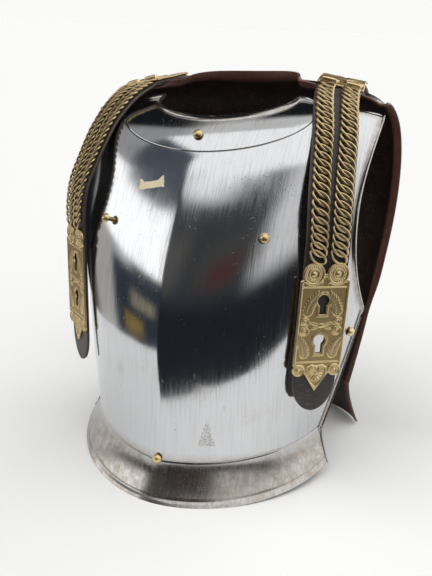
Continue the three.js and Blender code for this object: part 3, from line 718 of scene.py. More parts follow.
    # Paper: old cream rag paper, torn off in the middle and soiled.
    label = add(
        tree,
        "ShaderNodeMapping",
        {
            "Vector": place,
            "Location": LABEL["centre"],
            "Rotation": (0, LABEL["turn"], 0),
            "Scale": LABEL["half_size"],
        },
        vector_type="TEXTURE",
    )
    torn = add(
        tree, "ShaderNodeTexNoise", {"Vector": place, "Scale": per_metre(4), "Detail": 5, "Roughness": 0.6}
    )
    on_label = add(tree, "ShaderNodeSeparateXYZ", {0: label}).outputs
    across = add(tree, "ShaderNodeMath", {0: on_label["X"]}, operation="ABSOLUTE")
    up = add(tree, "ShaderNodeMath", {0: on_label["Z"]}, operation="ABSOLUTE")
    reach = add(tree, "ShaderNodeMath", {0: across, 1: up}, operation="MAXIMUM")
    depth = add(tree, "ShaderNodeMath", {0: on_label["Y"]}, operation="ABSOLUTE")
    reach = add(tree, "ShaderNodeMath", {0: reach, 1: depth}, operation="MAXIMUM")
    missing = add(tree, "ShaderNodeMapRange", {0: across, 1: 0.45, 2: 0.75, 3: 0.62, 4: 0.0})
    above = add(tree, "ShaderNodeMath", {0: on_label["Z"], 1: missing})
    reach = add(tree, "ShaderNodeMath", {0: reach, 1: above}, operation="MAXIMUM")
    reach = add(tree, "ShaderNodeMath", {0: torn, 1: 0.5, 2: reach}, operation="MULTIPLY_ADD")
    paper_left = add(tree, "ShaderNodeMapRange", {0: reach, 1: 1.08, 2: 1.12, 3: 1.0, 4: 0.0})
    cream = add(
        tree, "ShaderNodeMix", {0: torn, 6: colour("#f4ead0"), 7: colour("#dcc79c")}, data_type="RGBA"
    )
    paper = add(tree, "ShaderNodeBsdfPrincipled", {"Base Color": cream, "Roughness": 0.85})
    surface = add(tree, "ShaderNodeMixShader", {0: paper_left, 1: steel, 2: paper})
    add(tree, "ShaderNodeOutputMaterial", {"Surface": surface})
    return material


def browned_steel():
    """The unpolished inside of the plates: a nearly black oxide with brown specks, as the forge left
    it, and rust brown where it is turned out along its edges."""
    material, tree = new_material("forge_black_steel")
    place = add(tree, "ShaderNodeTexCoord").outputs["Object"]
    clouds = add(
        tree,
        "ShaderNodeTexNoise",
        {"Vector": place, "Scale": per_metre(30), "Detail": 7, "Roughness": 0.65},
    )
    fine = add(tree, "ShaderNodeTexNoise", {"Vector": place, "Scale": per_metre(3), "Detail": 3})
    patches = add(tree, "ShaderNodeMapRange", {0: clouds, 1: 0.4, 2: 0.68})
    specks = add(tree, "ShaderNodeMapRange", {0: fine, 1: 0.62, 2: 0.7})
    tint = add(
        tree, "ShaderNodeMix", {0: patches, 6: colour("#201512"), 7: colour("#40271f")}, data_type="RGBA"
    )
    tint = add(tree, "ShaderNodeMix", {0: specks, 6: tint, 7: colour("#6a5443")}, data_type="RGBA")
    edge = add(tree, "ShaderNodeAttribute", attribute_name="edge_mm").outputs["Fac"]
    wander = add(tree, "ShaderNodeMapRange", {0: clouds, 1: 0.3, 2: 0.7, 3: -3.0, 4: 3.0})
    from_edge = add(tree, "ShaderNodeMath", {0: edge, 1: wander})
    rusty = add(tree, "ShaderNodeMapRange", {0: from_edge, 1: 3.0, 2: 8.0, 3: 1.0, 4: 0.0})
    rust = add(
        tree, "ShaderNodeMix", {0: fine, 6: colour("#583a30"), 7: colour("#8c6152")}, data_type="RGBA"
    )
    tint = add(tree, "ShaderNodeMix", {0: rusty, 6: tint, 7: rust}, data_type="RGBA")
    bump = add(tree, "ShaderNodeBump", {"Height": clouds, "Distance": 0.0006, "Strength": 0.5})
    inside = add(
        tree,
        "ShaderNodeBsdfPrincipled",
        {"Base Color": tint, "Metallic": 0.2, "Roughness": 0.48, "Normal": bump},
    )
    add(tree, "ShaderNodeOutputMaterial", {"Surface": inside})
    return material


def back_steel():
    """Armour steel that was polished once and has browned since: grey on the open surface, rust brown
    along its turned edges."""
    material, tree = new_material("browned_armour_steel")
    place = add(tree, "ShaderNodeTexCoord").outputs["Object"]
    edge = add(tree, "ShaderNodeAttribute", attribute_name="edge_mm").outputs["Fac"]
    clouds = add(
        tree,
        "ShaderNodeTexNoise",
        {"Vector": place, "Scale": per_metre(28), "Detail": 7, "Roughness": 0.65},
    )
    fine = add(
        tree, "ShaderNodeTexNoise", {"Vector": place, "Scale": per_metre(5), "Detail": 6, "Roughness": 0.7}
    )
    patches = add(tree, "ShaderNodeMapRange", {0: clouds, 1: 0.42, 2: 0.86})
    wander = add(tree, "ShaderNodeMapRange", {0: clouds, 1: 0.3, 2: 0.7, 3: -4.0, 4: 4.0})
    from_edge = add(tree, "ShaderNodeMath", {0: edge, 1: wander})
    rusty = add(tree, "ShaderNodeMapRange", {0: from_edge, 1: -2.0, 2: 4.0, 3: 1.0, 4: 0.0})
    brown = add(
        tree, "ShaderNodeMix", {0: fine, 6: colour("#533930"), 7: colour("#8c6354")}, data_type="RGBA"
    )
    tint = add(
        tree, "ShaderNodeMix", {0: patches, 6: colour("#b0b0af"), 7: colour("#7d756c")}, data_type="RGBA"
    )
    tint = add(tree, "ShaderNodeMix", {0: rusty, 6: tint, 7: brown}, data_type="RGBA")
    metal = add(tree, "ShaderNodeMapRange", {0: rusty, 1: 0.0, 2: 1.0, 3: 1.0, 4: 0.3})
    dull = add(tree, "ShaderNodeMath", {0: patches, 1: rusty}, operation="MAXIMUM")
    roughness = add(tree, "ShaderNodeMapRange", {0: dull, 1: 0.0, 2: 1.0, 3: 0.2, 4: 0.42})
    bump = add(tree, "ShaderNodeBump", {"Height": fine, "Distance": 0.0003, "Strength": 0.3})
    steel = add(
        tree,
        "ShaderNodeBsdfPrincipled",
        {"Base Color": tint, "Metallic": metal, "Roughness": roughness, "Normal": bump},
    )
    add(tree, "ShaderNodeOutputMaterial", {"Surface": steel})
    return material


def aged_brass(name, bright, dark, hollow_from):
    """Cast brass that is handled but never polished: it shines on what stands out and is brown in the
    hollows, which brings its relief out. On the chains the same darkening follows the wire's height, so
    the underside of each link, towards the strap, is painted shade."""
    material, tree = new_material(name)
    place = add(tree, "ShaderNodeTexCoord").outputs["Object"]
    relief = add(tree, "ShaderNodeAttribute", attribute_name="relief_mm").outputs["Fac"]
    clouds = add(
        tree, "ShaderNodeTexNoise", {"Vector": place, "Scale": per_metre(9), "Detail": 6, "Roughness": 0.65}
    )
    stipple = add(tree, "ShaderNodeTexVoronoi", {"Vector": place, "Scale": per_metre(0.9)})
    # Low relief darkens: on cast brass this is the patina in its hollows; on the chains, whose relief is
    # the wire's height, it is painted shade on the underside of each link.
    hollow = add(tree, "ShaderNodeMapRange", {0: relief, 1: hollow_from, 2: 0.35, 3: 1.0, 4: 0.0})
    patches = add(tree, "ShaderNodeMapRange", {0: clouds, 1: 0.42, 2: 0.7, 3: 0.0, 4: 0.35})
    tarnish_and_shade = add(tree, "ShaderNodeMath", {0: hollow, 1: patches}, operation="MAXIMUM")
    tint = add(tree, "ShaderNodeMix", {0: tarnish_and_shade, 6: colour(bright), 7: colour(dark)}, data_type="RGBA")
    roughness = add(tree, "ShaderNodeMapRange", {0: tarnish_and_shade, 1: 0.0, 2: 1.0, 3: 0.33, 4: 0.5})
    rough_ground = add(tree, "ShaderNodeMapRange", {0: hollow, 1: 0.0, 2: 1.0, 3: 0.1, 4: 0.6})
    bump = add(tree, "ShaderNodeBump", {"Height": stipple, "Distance": 0.0003, "Strength": rough_ground})
    brass = add(
        tree,
        "ShaderNodeBsdfPrincipled",
        {"Base Color": tint, "Metallic": 1.0, "Roughness": roughness, "Normal": bump},
    )
    add(tree, "ShaderNodeOutputMaterial", {"Surface": brass})
    return material


def strap_leather():
    """Vegetable-tanned harness leather, blacked and waxed: a fine pebbled grain, dry creases and scuffs
    across it, and browner edges where it has been cut."""
    material, tree = new_material("blackened_harness_leather")
    place = add(tree, "ShaderNodeTexCoord").outputs["Object"]
    edge = add(tree, "ShaderNodeAttribute", attribute_name="edge_mm").outputs["Fac"]
    clouds = add(
        tree, "ShaderNodeTexNoise", {"Vector": place, "Scale": per_metre(14), "Detail": 6, "Roughness": 0.6}
    )
    pebbles = add(
        tree, "ShaderNodeTexVoronoi", {"Vector": place, "Scale": per_metre(0.9)}, feature="SMOOTH_F1"
    )
    across = add(tree, "ShaderNodeMapping", {"Vector": place, "Scale": (0.2, 0.2, 1)})
    creases = add(tree, "ShaderNodeTexNoise", {"Vector": across, "Scale": per_metre(1.6), "Detail": 4})
    crease = add(tree, "ShaderNodeMapRange", {0: creases, 1: 0.6, 2: 0.7})
    worn = add(tree, "ShaderNodeMapRange", {0: edge, 1: 0.2, 2: 1.6, 3: 0.7, 4: 0.0})
    tint = add(
        tree, "ShaderNodeMix", {0: clouds, 6: colour("#221e1d"), 7: colour("#45403d")}, data_type="RGBA"
    )
    tint = add(tree, "ShaderNodeMix", {0: worn, 6: tint, 7: colour("#5b4a3e")}, data_type="RGBA")
    scuff = add(tree, "ShaderNodeMath", {0: crease, 1: 0.45}, operation="MULTIPLY")
    tint = add(tree, "ShaderNodeMix", {0: scuff, 6: tint, 7: colour("#6e6762")}, data_type="RGBA")
    roughness = add(tree, "ShaderNodeMapRange", {0: clouds, 1: 0.3, 2: 0.7, 3: 0.36, 4: 0.55})
    bump = add(tree, "ShaderNodeBump", {"Height": pebbles, "Distance": 0.0002, "Strength": 0.4})
    bump = add(
        tree, "ShaderNodeBump", {"Height": creases, "Distance": 0.0003, "Strength": 0.3, "Normal": bump}
    )
    leather = add(
        tree, "ShaderNodeBsdfPrincipled", {"Base Color": tint, "Roughness": roughness, "Normal": bump}
    )
    add(tree, "ShaderNodeOutputMaterial", {"Surface": leather})
    return material


STEEL = polished_steel()
FORGE_BLACK = browned_steel()
BACK_STEEL = back_steel()
BRASS = aged_brass("aged_cast_brass", "#ead29e", "#967a4e", -0.15)
# The chain brass darkens each link's wire towards the strap: painted shade.
CHAIN_BRASS = aged_brass("aged_drawn_brass_with_painted_shade", "#d6c094", "#6a5534", -2.6)
LEATHER = strap_leather()

# ---- Plates as pieces ----------------------------------------------------------------------------


def collar_distance(points):
    """How far each point is from the collar line, in mm: above it positive."""
    points = points.reshape(-1, 3)
    turn = np.arcsin(np.clip(np.abs(points[:, 0]) / COLLAR["half_width"], 0, 1))
    line = COLLAR["middle"] + COLLAR["rise"] * (1 - np.cos(turn))
    slope = COLLAR["rise"] / COLLAR["half_width"] * np.tan(np.minimum(turn, 1.2))
    distance = (points[:, 2] - line) / np.sqrt(1 + slope**2)
    beyond_line = np.abs(points[:, 0]) > COLLAR["half_width"]
    return np.where(beyond_line | (points[:, 1] > 0), FAR["from_collar"], distance)


def plate_piece(name, outer, inner, edge, material, slot):
    """A plate as a closed sheet, polished outside and black inside."""
    points, faces = closed_sheet(outer, inner)
    measures = {"edge_mm": np.concatenate([edge.ravel()] * 2), "collar_mm": collar_distance(points)}
    piece = new_piece(name, placed(points), faces, material, measures, sharp=40)
    piece.data.materials.append(FORGE_BLACK)
    count = outer.shape[0] * outer.shape[1]
    material_slots = np.zeros(len(piece.data.polygons), np.int32)
    inside = (faces >= count).all(1)
    material_slots[inside] = 1
    piece.data.polygons.foreach_set("material_index", material_slots)
    bevel = piece.modifiers.new("worn_edge", "BEVEL")
    bevel.width = 0.45 * MM
    bevel.segments = 2
    bevel.limit_method = "ANGLE"
    bevel.angle_limit = radians(55)
    return settle(baked(piece), slot, name)


breastplate = plate_piece("breastplate", breast_outer, breast_inner, breast_edge, STEEL, "polished_steel")
backplate = plate_piece("backplate", back_outer, back_inner, back_edge, BACK_STEEL, "browned_steel")

# ---- Straps --------------------------------------------------------------------------------------


def through(points, t, centripetal):
    """A Catmull-Rom curve through the points, at shares t from 0 to 1."""
    points = np.asarray(points, float)
    count = len(points)
    t = np.atleast_1d(np.asarray(t, float)) * (count - 1)
    i = np.minimum(t.astype(int), count - 2)
    w = (t - i)[:, None]
    padded = np.vstack([2 * points[0] - points[1], points, 2 * points[-1] - points[-2]])
    p0, p1, p2, p3 = (padded[i + k] for k in range(4))
    if centripetal:
        d0, d1, d2 = (
            np.sqrt(np.linalg.norm(b - a, axis=1))[:, None] for a, b in ((p0, p1), (p1, p2), (p2, p3))
        )
        m1 = ((p1 - p0) / d0 - (p2 - p0) / (d0 + d1) + (p2 - p1) / d1) * d1
        m2 = ((p2 - p1) / d1 - (p3 - p1) / (d1 + d2) + (p3 - p2) / d2) * d1
    else:
        m1 = (p2 - p0) / 2
        m2 = (p3 - p1) / 2
    return p1 + m1 * w + (3 * (p2 - p1) - 2 * m1 - m2) * w**2 + (2 * (p1 - p2) + m1 + m2) * w**3


back_surface = plate_surface(BACK)
rear_angle, rear_station = (np.array(values, float) for values in zip(*STRAP["on_back"]))
rear_points = back_surface(rear_angle, rear_station)
rear_points = rear_points + STRAP["rise"] * plate_normal(back_surface, rear_angle, rear_station)
rear_sides = unit(back_surface(rear_angle + 1, rear_station) - back_surface(rear_angle - 1, rear_station))
line_points = np.vstack([rear_points, STRAP["line"]])
line_sides = np.vstack([rear_sides, STRAP["across"]])
MARKS = np.linspace(0, 1, 201)
mark_points = through(line_points, MARKS, True)
mark_lengths = np.concatenate([[0], np.cumsum(np.linalg.norm(np.diff(mark_points, axis=0), axis=1))])
STRAP_LENGTH = mark_lengths[-1]


def strap_frame(distance):
    """Point, direction along, direction across and outward normal, at distances along the strap's
    middle line."""
    t = np.interp(np.atleast_1d(distance), mark_lengths, MARKS)
    point = through(line_points, t, True)
    step = 1e-4
    ahead = through(line_points, np.minimum(t + step, 1), True)
    behind = through(line_points, np.maximum(t - step, 0), True)
    along = unit(ahead - behind)
    side = through(line_sides, t, False)
    side = unit(side - dot(side, along) * along)
    return point, along, side, np.cross(along, side)


def on_strap(distance, sideways, height):
    """Points beside and above the strap's middle line, for arrays of one shape."""
    distance, sideways, height = np.broadcast_arrays(distance, sideways, height)
    point, _, side, outward = strap_frame(distance.ravel())
    points = point + side * sideways.ravel()[:, None] + outward * height.ravel()[:, None]
    return points.reshape(*distance.shape, 3)


PLATE_START = STRAP_LENGTH - FRONT_PLATE["point"] - FRONT_PLATE["below"]
CHAIN_END = PLATE_START - CHAIN["gap"]
CHAIN_START = CHAIN_END - CHAIN["links"] * CHAIN["pitch"]


def flat_on_strap(start, length, height):
    """Origin and axes of a flat piece that lies on the strap: across, up and outward."""
    point, _, sides, _ = strap_frame([start, start + length])
    down = unit(point[1] - point[0])
    side = sides.sum(0)
    side = unit(side - down * (side @ down))
    outward = np.cross(down, side)
    origin = point.mean(0) - down * length / 2 + outward * height
    return origin, side, -down, outward


def keyhole_distance(x, y, drop):
    """Distance in mm from the outline of a keyhole: a round hole with a slot below it. Negative
    inside."""
    round_part = np.hypot(x, y + drop) - FRONT_PLATE["keyhole"]
    end = -drop - FRONT_PLATE["slot_length"]
    slot = np.maximum(np.abs(x) - FRONT_PLATE["slot_half"], np.maximum(end - y, y + drop))
    return np.minimum(round_part, slot)


def ring_piece(rings):
    """Points and faces of a solid from closed rings of points, with both ends filled."""
    rings = np.asarray(rings)
    count, around = rings.shape[:2]
    j, i = np.meshgrid(np.arange(count - 1), np.arange(around), indexing="ij")
    a = (j * around + i).ravel()
    b = (j * around + (i + 1) % around).ravel()
    faces = np.stack([a, b, b + around, a + around], 1).tolist()
    faces.append(list(range(around))[::-1])
    faces.append(list(range((count - 1) * around, count * around)))
    return rings.reshape(-1, 3), faces


def strap_piece(mirrored):
    """The leather of a strap: a flat band with rounded edges and a rounded tongue, cut through at its
    keyhole."""
    half = STRAP["thickness"] / 2
    tongue = STRAP["tongue"]
    straight = np.linspace(0, STRAP_LENGTH - tongue, 150)
    bend = np.radians(np.linspace(0, 86, 30))[1:]
    distances = np.concatenate([straight, STRAP_LENGTH - tongue * (1 - np.sin(bend))])
    half_widths = STRAP["width"] / 2 * np.concatenate([np.ones(len(straight)), np.cos(bend)])
    corner = np.radians([0, 30, 60])
    across = np.linspace(-1, 1, 13)
    inset = 1.1  # of the rounded edge
    rings, edges = [], []
    for distance, half_width in zip(distances, half_widths):
        inner = max(half_width - inset, half_width * 0.4)
        reach = half_width - inner
        right = np.stack([inner + reach * np.cos(corner), half * np.sin(corner)], 1)
        flat = np.stack([-across * inner, np.full(len(across), half)], 1)
        left = np.stack([-right[::-1][:, 0], right[::-1][:, 1]], 1)
        upper = np.vstack([right, flat, left])
        lower = np.vstack([-flat, right[1:][::-1] * (1, -1)])
        section = np.vstack([upper, lower])
        rings.append(on_strap(distance, section[:, 0], section[:, 1]))
        edges.append(half_width - np.abs(section[:, 0]))
    points, faces = ring_piece(rings)
    name = "strap_right" if mirrored else "strap_left"
    piece = new_piece(
        name, placed(points, mirrored), faces, LEATHER, {"edge_mm": np.concatenate(edges)}, sharp=50
    )

    origin, side, up, outward = flat_on_strap(PLATE_START, FRONT_PLATE["point"], 0)
    clearance = FRONT_PLATE["leather_hole"]
    radius = FRONT_PLATE["keyhole"] + clearance
    half_slot = FRONT_PLATE["slot_half"] + clearance
    drop = FRONT_PLATE["keyholes"][1]
    start = degrees(asin(half_slot / radius))
    turn = np.radians(np.linspace(-90 + start, 270 - start, 28))
    end = -drop - FRONT_PLATE["slot_length"] - clearance
    arc = [(radius * cos(a), -drop + radius * sin(a)) for a in turn]
    outline = [(half_slot, end)] + arc + [(-half_slot, end)]
    ends = (-CUTTER_REACH, CUTTER_REACH)
    rings = [[origin + x * side + y * up + h * outward for x, y in outline] for h in ends]
    cutter_points, cutter_faces = ring_piece(rings)
    cutter = new_piece("cutter", placed(cutter_points, mirrored), cutter_faces, LEATHER)
    cut = piece.modifiers.new("keyhole", "BOOLEAN")
    cut.operation = "DIFFERENCE"
    cut.solver = "EXACT"
    cut.object = cutter
    baked(piece)
    bpy.data.objects.remove(cutter)
    return settle(piece, "leather", name)


# ---- Cast relief ---------------------------------------------------------------------------------


def ridge(distance, half, height):
    """A rounded ridge along the line where distance is 0."""
    return height * np.sqrt(np.clip(1 - (distance / half) ** 2, 0, 1))


def leaf(x, y, root, angle, length, width, height):
    """A pointed leaf with a sunken rib, growing from its root at an angle in degrees."""
    c, s = cos(radians(angle)), sin(radians(angle))
    u = ((x - root[0]) * c + (y - root[1]) * s) / length
    v = np.abs((y - root[1]) * c - (x - root[0]) * s)
    half = width / 2 * np.sin(pi * np.clip(u, 0, 1) ** 0.8) + 1e-6
    body = np.sqrt(np.clip(1 - (v / half) ** 2, 0, 1)) - 0.35 * np.clip(1 - v / 0.35, 0, 1)
    return np.where((u > 0) & (u < 1) & (v < half), height * np.clip(body, 0, 1), 0)


def bead_ring(x, y, centre, radius, count, size):
    """Beads on a circle."""
    dx, dy = x - centre[0], y - centre[1]
    step = 2 * pi / count
    turn = np.arctan2(dy, dx)
    nearest = np.round(turn / step) * step
    off = np.hypot(dx - radius * np.cos(nearest), dy - radius * np.sin(nearest))
    return ridge(off, size, size * 0.85)


def rosette(x, y, centre, radius):
    """A round boss: a rolled rim, a dished band with beads, a ring and a domed middle."""
    r = np.hypot(x - centre[0], y - centre[1]) / radius
    parts = [
        ridge((r - 0.88) * radius, 0.12 * radius, 0.8),
        bead_ring(x, y, centre, 0.66 * radius, 20, 0.08 * radius),
        ridge((r - 0.46) * radius, 0.08 * radius, 0.6),
        ridge(r * radius, 0.24 * radius, 1.2),
        np.where(r < 0.98, 0.1, 0),
    ]
    return np.maximum.reduce(parts)


def scroll(x, y, centre, radius, hand):
    """A volute: one and three quarter turns of a ridge that winds inwards."""
    dx, dy = (x - centre[0]) * hand, y - centre[1]
    r = np.hypot(dx, dy)
    turn = np.arctan2(dy, dx)
    best = np.zeros_like(r)
    for lap in range(3):
        wound = turn + 2 * pi * lap
        share = np.clip(wound / (3.5 * pi), 0, 1)
        on = (wound > -pi) & (wound < 3.5 * pi)
        arm = radius * (1 - 0.8 * share)
        best = np.maximum(best, np.where(on, ridge(r - arm, 0.13 * radius * (1.2 - 0.5 * share), 0.6), 0))
    return np.maximum(best, ridge(r, 0.2 * radius, 0.75))


def palm_branch(x, y, root, angle, length, hand, leaf_share=2.3):
    """A curved branch with a row of leaves on each side."""
    best = np.zeros_like(x)
    leaves = 8
    px, py, heading = root[0], root[1], angle
    step = length / leaves
    for k in range(leaves):
        size = step * (leaf_share - 0.9 * k / leaves)
        for turn in (38, -38):
            best = np.maximum(best, leaf(x, y, (px, py), heading + turn, size, size * 0.42, 0.65))
        best = np.maximum(best, leaf(x, y, (px, py), heading, step * 1.5, 0.9, 0.5))
        px += step * cos(radians(heading))
        py += step * sin(radians(heading))
        heading += hand * 7
    return np.maximum(best, leaf(x, y, (px, py), heading, step * 1.9, step * 0.8, 0.65))


def polygon_distance(x, y, corners):
    """Signed distance from a polygon, negative inside."""
    corners = np.array(corners, float)
    best = np.full(x.shape, 1e9)
    inside = np.zeros(x.shape, bool)
    for a, b in zip(corners, np.roll(corners, -1, 0)):
        edge = b - a
        t = np.clip(((x - a[0]) * edge[0] + (y - a[1]) * edge[1]) / (edge @ edge), 0, 1)
        best = np.minimum(best, np.hypot(x - a[0] - t * edge[0], y - a[1] - t * edge[1]))
        crosses = (a[1] > y) != (b[1] > y)
        with np.errstate(divide="ignore", invalid="ignore"):
            at = edge[0] * (y - a[1]) / edge[1] + a[0]
        inside ^= crosses & (x < at)
    return np.where(inside, -best, best)


def relief_sheet(outline, relief, base, x_range, y_range, step):
    """A cast sheet: a grid over its outline, its front raised by its relief and its back flat.
    Gives local points (across, up, outward), faces and the relief's height at each point."""
    xs = np.arange(x_range[0], x_range[1] + step, step)
    ys = np.arange(y_range[0], y_range[1] + step, step)
    x, y = np.meshgrid(xs, ys)
    centre = outline((x[1:, 1:] + x[:-1, :-1]) / 2, (y[1:, 1:] + y[:-1, :-1]) / 2)
    kept = centre < 0
    used = np.zeros(x.shape, bool)
    full = np.zeros(x.shape, int)
    for dj in (0, 1):
        for di in (0, 1):
            window = (slice(dj, dj + kept.shape[0]), slice(di, di + kept.shape[1]))
            used[window] |= kept
            full[window] += kept
    border = used & (full < 4)

    # The border's points are pulled on to the outline.
    for _ in range(4):
        bx, by = x[border], y[border]
        d = outline(bx, by)
        gx = (outline(bx + 0.05, by) - outline(bx - 0.05, by)) / 0.1
        gy = (outline(bx, by + 0.05) - outline(bx, by - 0.05)) / 0.1
        size = np.maximum(gx**2 + gy**2, 0.5)
        x[border] -= np.clip(d * gx / size, -step, step) * 0.9
        y[border] -= np.clip(d * gy / size, -step, step) * 0.9
    number = np.full(x.shape, -1)
    number[used] = np.arange(used.sum())
    a = number[:-1, :-1][kept]
    b = number[:-1, 1:][kept]
    c = number[1:, 1:][kept]
    d = number[1:, :-1][kept]
    front = np.stack([a, b, c, d], 1)
    px, py = x[used], y[used]
    edge = -outline(px, py)
    height = relief(px, py, edge)
    rounded = 0.35 * (1 - np.sqrt(np.clip(edge / 0.5, 0, 1)))
    count = len(px)
    top = np.stack([px, py, base + height - rounded], 1)
    bottom = np.stack([px, py, np.zeros(count)], 1)
    edges = np.concatenate([front[:, [k, (k + 1) % 4]] for k in range(4)])
    codes = edges[:, 0] * count + edges[:, 1]
    lone = edges[~np.isin(edges[:, 1] * count + edges[:, 0], codes)]
    walls = np.stack([lone[:, 0], lone[:, 0] + count, lone[:, 1] + count, lone[:, 1]], 1)
    faces = np.concatenate([front, front[:, ::-1] + count, walls])
    return np.vstack([top, bottom]), faces, np.concatenate([height, np.full(count, 0.3)])


def front_plate_body(x, y):
    """Signed distance from the front plate's outer outline."""
    p = FRONT_PLATE
    half, end, low = p["half_width"], p["body_end"], p["corner_drop"] + 4
    corners = [(-half, -p["body_top"]), (-half, -end), (-p["shield_half"], -low), (0, -p["point"])]
    corners += [(p["shield_half"], -low), (half, -end), (half, -p["body_top"])]
    corners += [(p["rosette_x"], -p["rosette"]), (-p["rosette_x"], -p["rosette"])]
    parts = [polygon_distance(x, y, corners)]
    for hand in (-1, 1):
        parts.append(np.hypot(x - hand * p["rosette_x"], y + p["rosette"]) - p["rosette"])
        parts.append(np.hypot(x - hand * p["corner_x"], y + p["corner_drop"]) - p["corner"])
    return np.minimum.reduce(parts)


def front_plate_outline(x, y):
    shape = front_plate_body(x, y)
    for drop in FRONT_PLATE["keyholes"]:
        shape = np.maximum(shape, -keyhole_distance(x, y, drop))
    return shape


def front_plate_relief(x, y, edge):
    """The casting's ornament, symmetrical about its middle."""
    p = FRONT_PLATE
    from_rim = -front_plate_body(x, y)
    parts = [0.6 * (1 - smoothstep(from_rim, 2.2, 3.0))]
    for drop in p["keyholes"]:
        around = keyhole_distance(x, y, drop)
        parts.append(0.3 * (1 - smoothstep(around, 2.2, 2.8)))
    for line in p["lines"]:
        parts.append(np.where(np.abs(x) < 23, ridge(y + line, 0.8, 0.5), 0))
    for hand in (-1, 1):
        parts.append(palm_branch(x, y, (hand * 15, -53), 90, 25, hand, 3.1))
        parts.append(palm_branch(x, y, (hand * 15, -97), 90 + hand * 4, 24, -hand, 3.1))
        parts.append(scroll(x, y, (hand * 16.5, -58), 4.2, hand))
        parts.append(scroll(x, y, (hand * 16.5, -67.5), 4.6, hand))
        parts.append(leaf(x, y, (hand * 2.5, -61.5), 90 - hand * 78, 11, 3.2, 0.55))
        parts.append(leaf(x, y, (hand * 2.5, -63.5), 90 - hand * 108, 10, 2.8, 0.5))
        parts.append(leaf(x, y, (hand * 3, -20.5), 90 - hand * 20, 9, 3.4, 0.55))
    parts.append(ridge(np.hypot(x / 1.5, y + 62.3), 2.4, 0.7))
    ornament = np.maximum.reduce(parts)

    # Round bosses at the top and at the lower corners, and the shield at the point, lie over the rest.
    bosses = [(hand * p["rosette_x"], -p["rosette"], p["rosette"]) for hand in (-1, 1)]
    bosses += [(hand * p["corner_x"], -p["corner_drop"], p["corner"]) for hand in (-1, 1)]
    for across, up, radius in bosses:
        inside = np.hypot(x - across, y - up) < radius
        ornament = np.where(inside, rosette(x, y, (across, up), radius), ornament)
    half, top = p["shield_half"] - 1, -p["body_end"]
    corners = [(-half * 0.5, top + 0.8), (0, top - 0.6), (half * 0.5, top + 0.8), (half, top - 2.5)]
    corners += [(half * 0.97, top - 12), (half * 0.6, top - 19), (0, top - 25.5)]
    corners += [(-half * 0.6, top - 19), (-half * 0.97, top - 12), (-half, top - 2.5)]
    within = -polygon_distance(x, y, corners)
    centre = (0, top - 9)
    rays = np.arctan2(y - centre[1], x - centre[0])
    away = np.hypot(x - centre[0], y - centre[1])
    palmette = (0.35 + 0.35 * np.cos(12 * rays)) * smoothstep(away, 1.5, 3) * (
        1 - smoothstep(away, 6.8, 7.8)
    )
    face = np.maximum.reduce(
        [palmette, ridge(away, 1.8, 0.7), ridge(within - 0.9, 0.9, 0.9), ridge(away - 8.3, 0.6, 0.35)]
    )
    return np.where(within > 0, face, ornament)


def rear_plate_outline(x, y):
    p = REAR_PLATE
    half, length = p["half_width"], p["length"]
    corners = [(-half, 0), (-half, -length + 11), (-half * 0.45, -length + 3)]
    corners += [(half * 0.45, -length + 3), (half, -length + 11), (half, 0)]
    return polygon_distance(x, y, corners)


def rear_plate_relief(x, y, edge):
    """A plain bordered plate with a rosette behind each bar."""
    p = REAR_PLATE
    parts = [ridge(edge - 1.1, 0.8, 0.5)]
    middle = -(BAR["length"] + p["rosette_gap"] + p["rosette"])
    for hand in (-1, 1):
        disc = np.hypot(x - hand * CHAIN["high"], y - middle)
        raised = 0.9 * smoothstep(-disc, -p["rosette"], -p["rosette"] + 0.5)
        parts.append(
            raised + rosette(x, y, (hand * CHAIN["high"], middle), p["rosette"]) * (disc < p["rosette"])
        )
    line = 2 * middle + 2
    parts.append(np.where(np.abs(x) < 21, ridge(y - line, 0.8, 0.5), 0))
    for hand in (-1, 1):
        parts.append(palm_branch(x, y, (hand * 3, line - 19), 90 - hand * 48, 19, -hand))
    return np.maximum.reduce(parts)


def bar_outline(x, y):
    return np.maximum(np.abs(x) - BAR["width"] / 2, np.abs(y) - BAR["length"] / 2)


def bar_relief(x, y, edge):
    """A rounded bar with a fillet line near each end."""
    along = np.clip(1 - np.abs(2 * y / BAR["length"]) ** 2.6, 0, 1) ** (1 / 2.6)
    across = np.clip(1 - np.abs(2 * x / BAR["width"]) ** 7, 0, 1) ** (1 / 7)
    lines = 0.3 * np.exp(-(((np.abs(x) - 5.4) / 0.35) ** 2))
    return (BAR["height"] - 1) * along * across - lines


def cast_piece(name, sheet, to_strap, mirrored, *nodes):
    """A relief sheet set on the strap."""
    local, faces, relief = sheet
    piece = new_piece(
        name, placed(to_strap(local), mirrored), faces, BRASS, {"relief_mm": relief}, sharp=60
    )
    return settle(piece, "brass", *nodes)


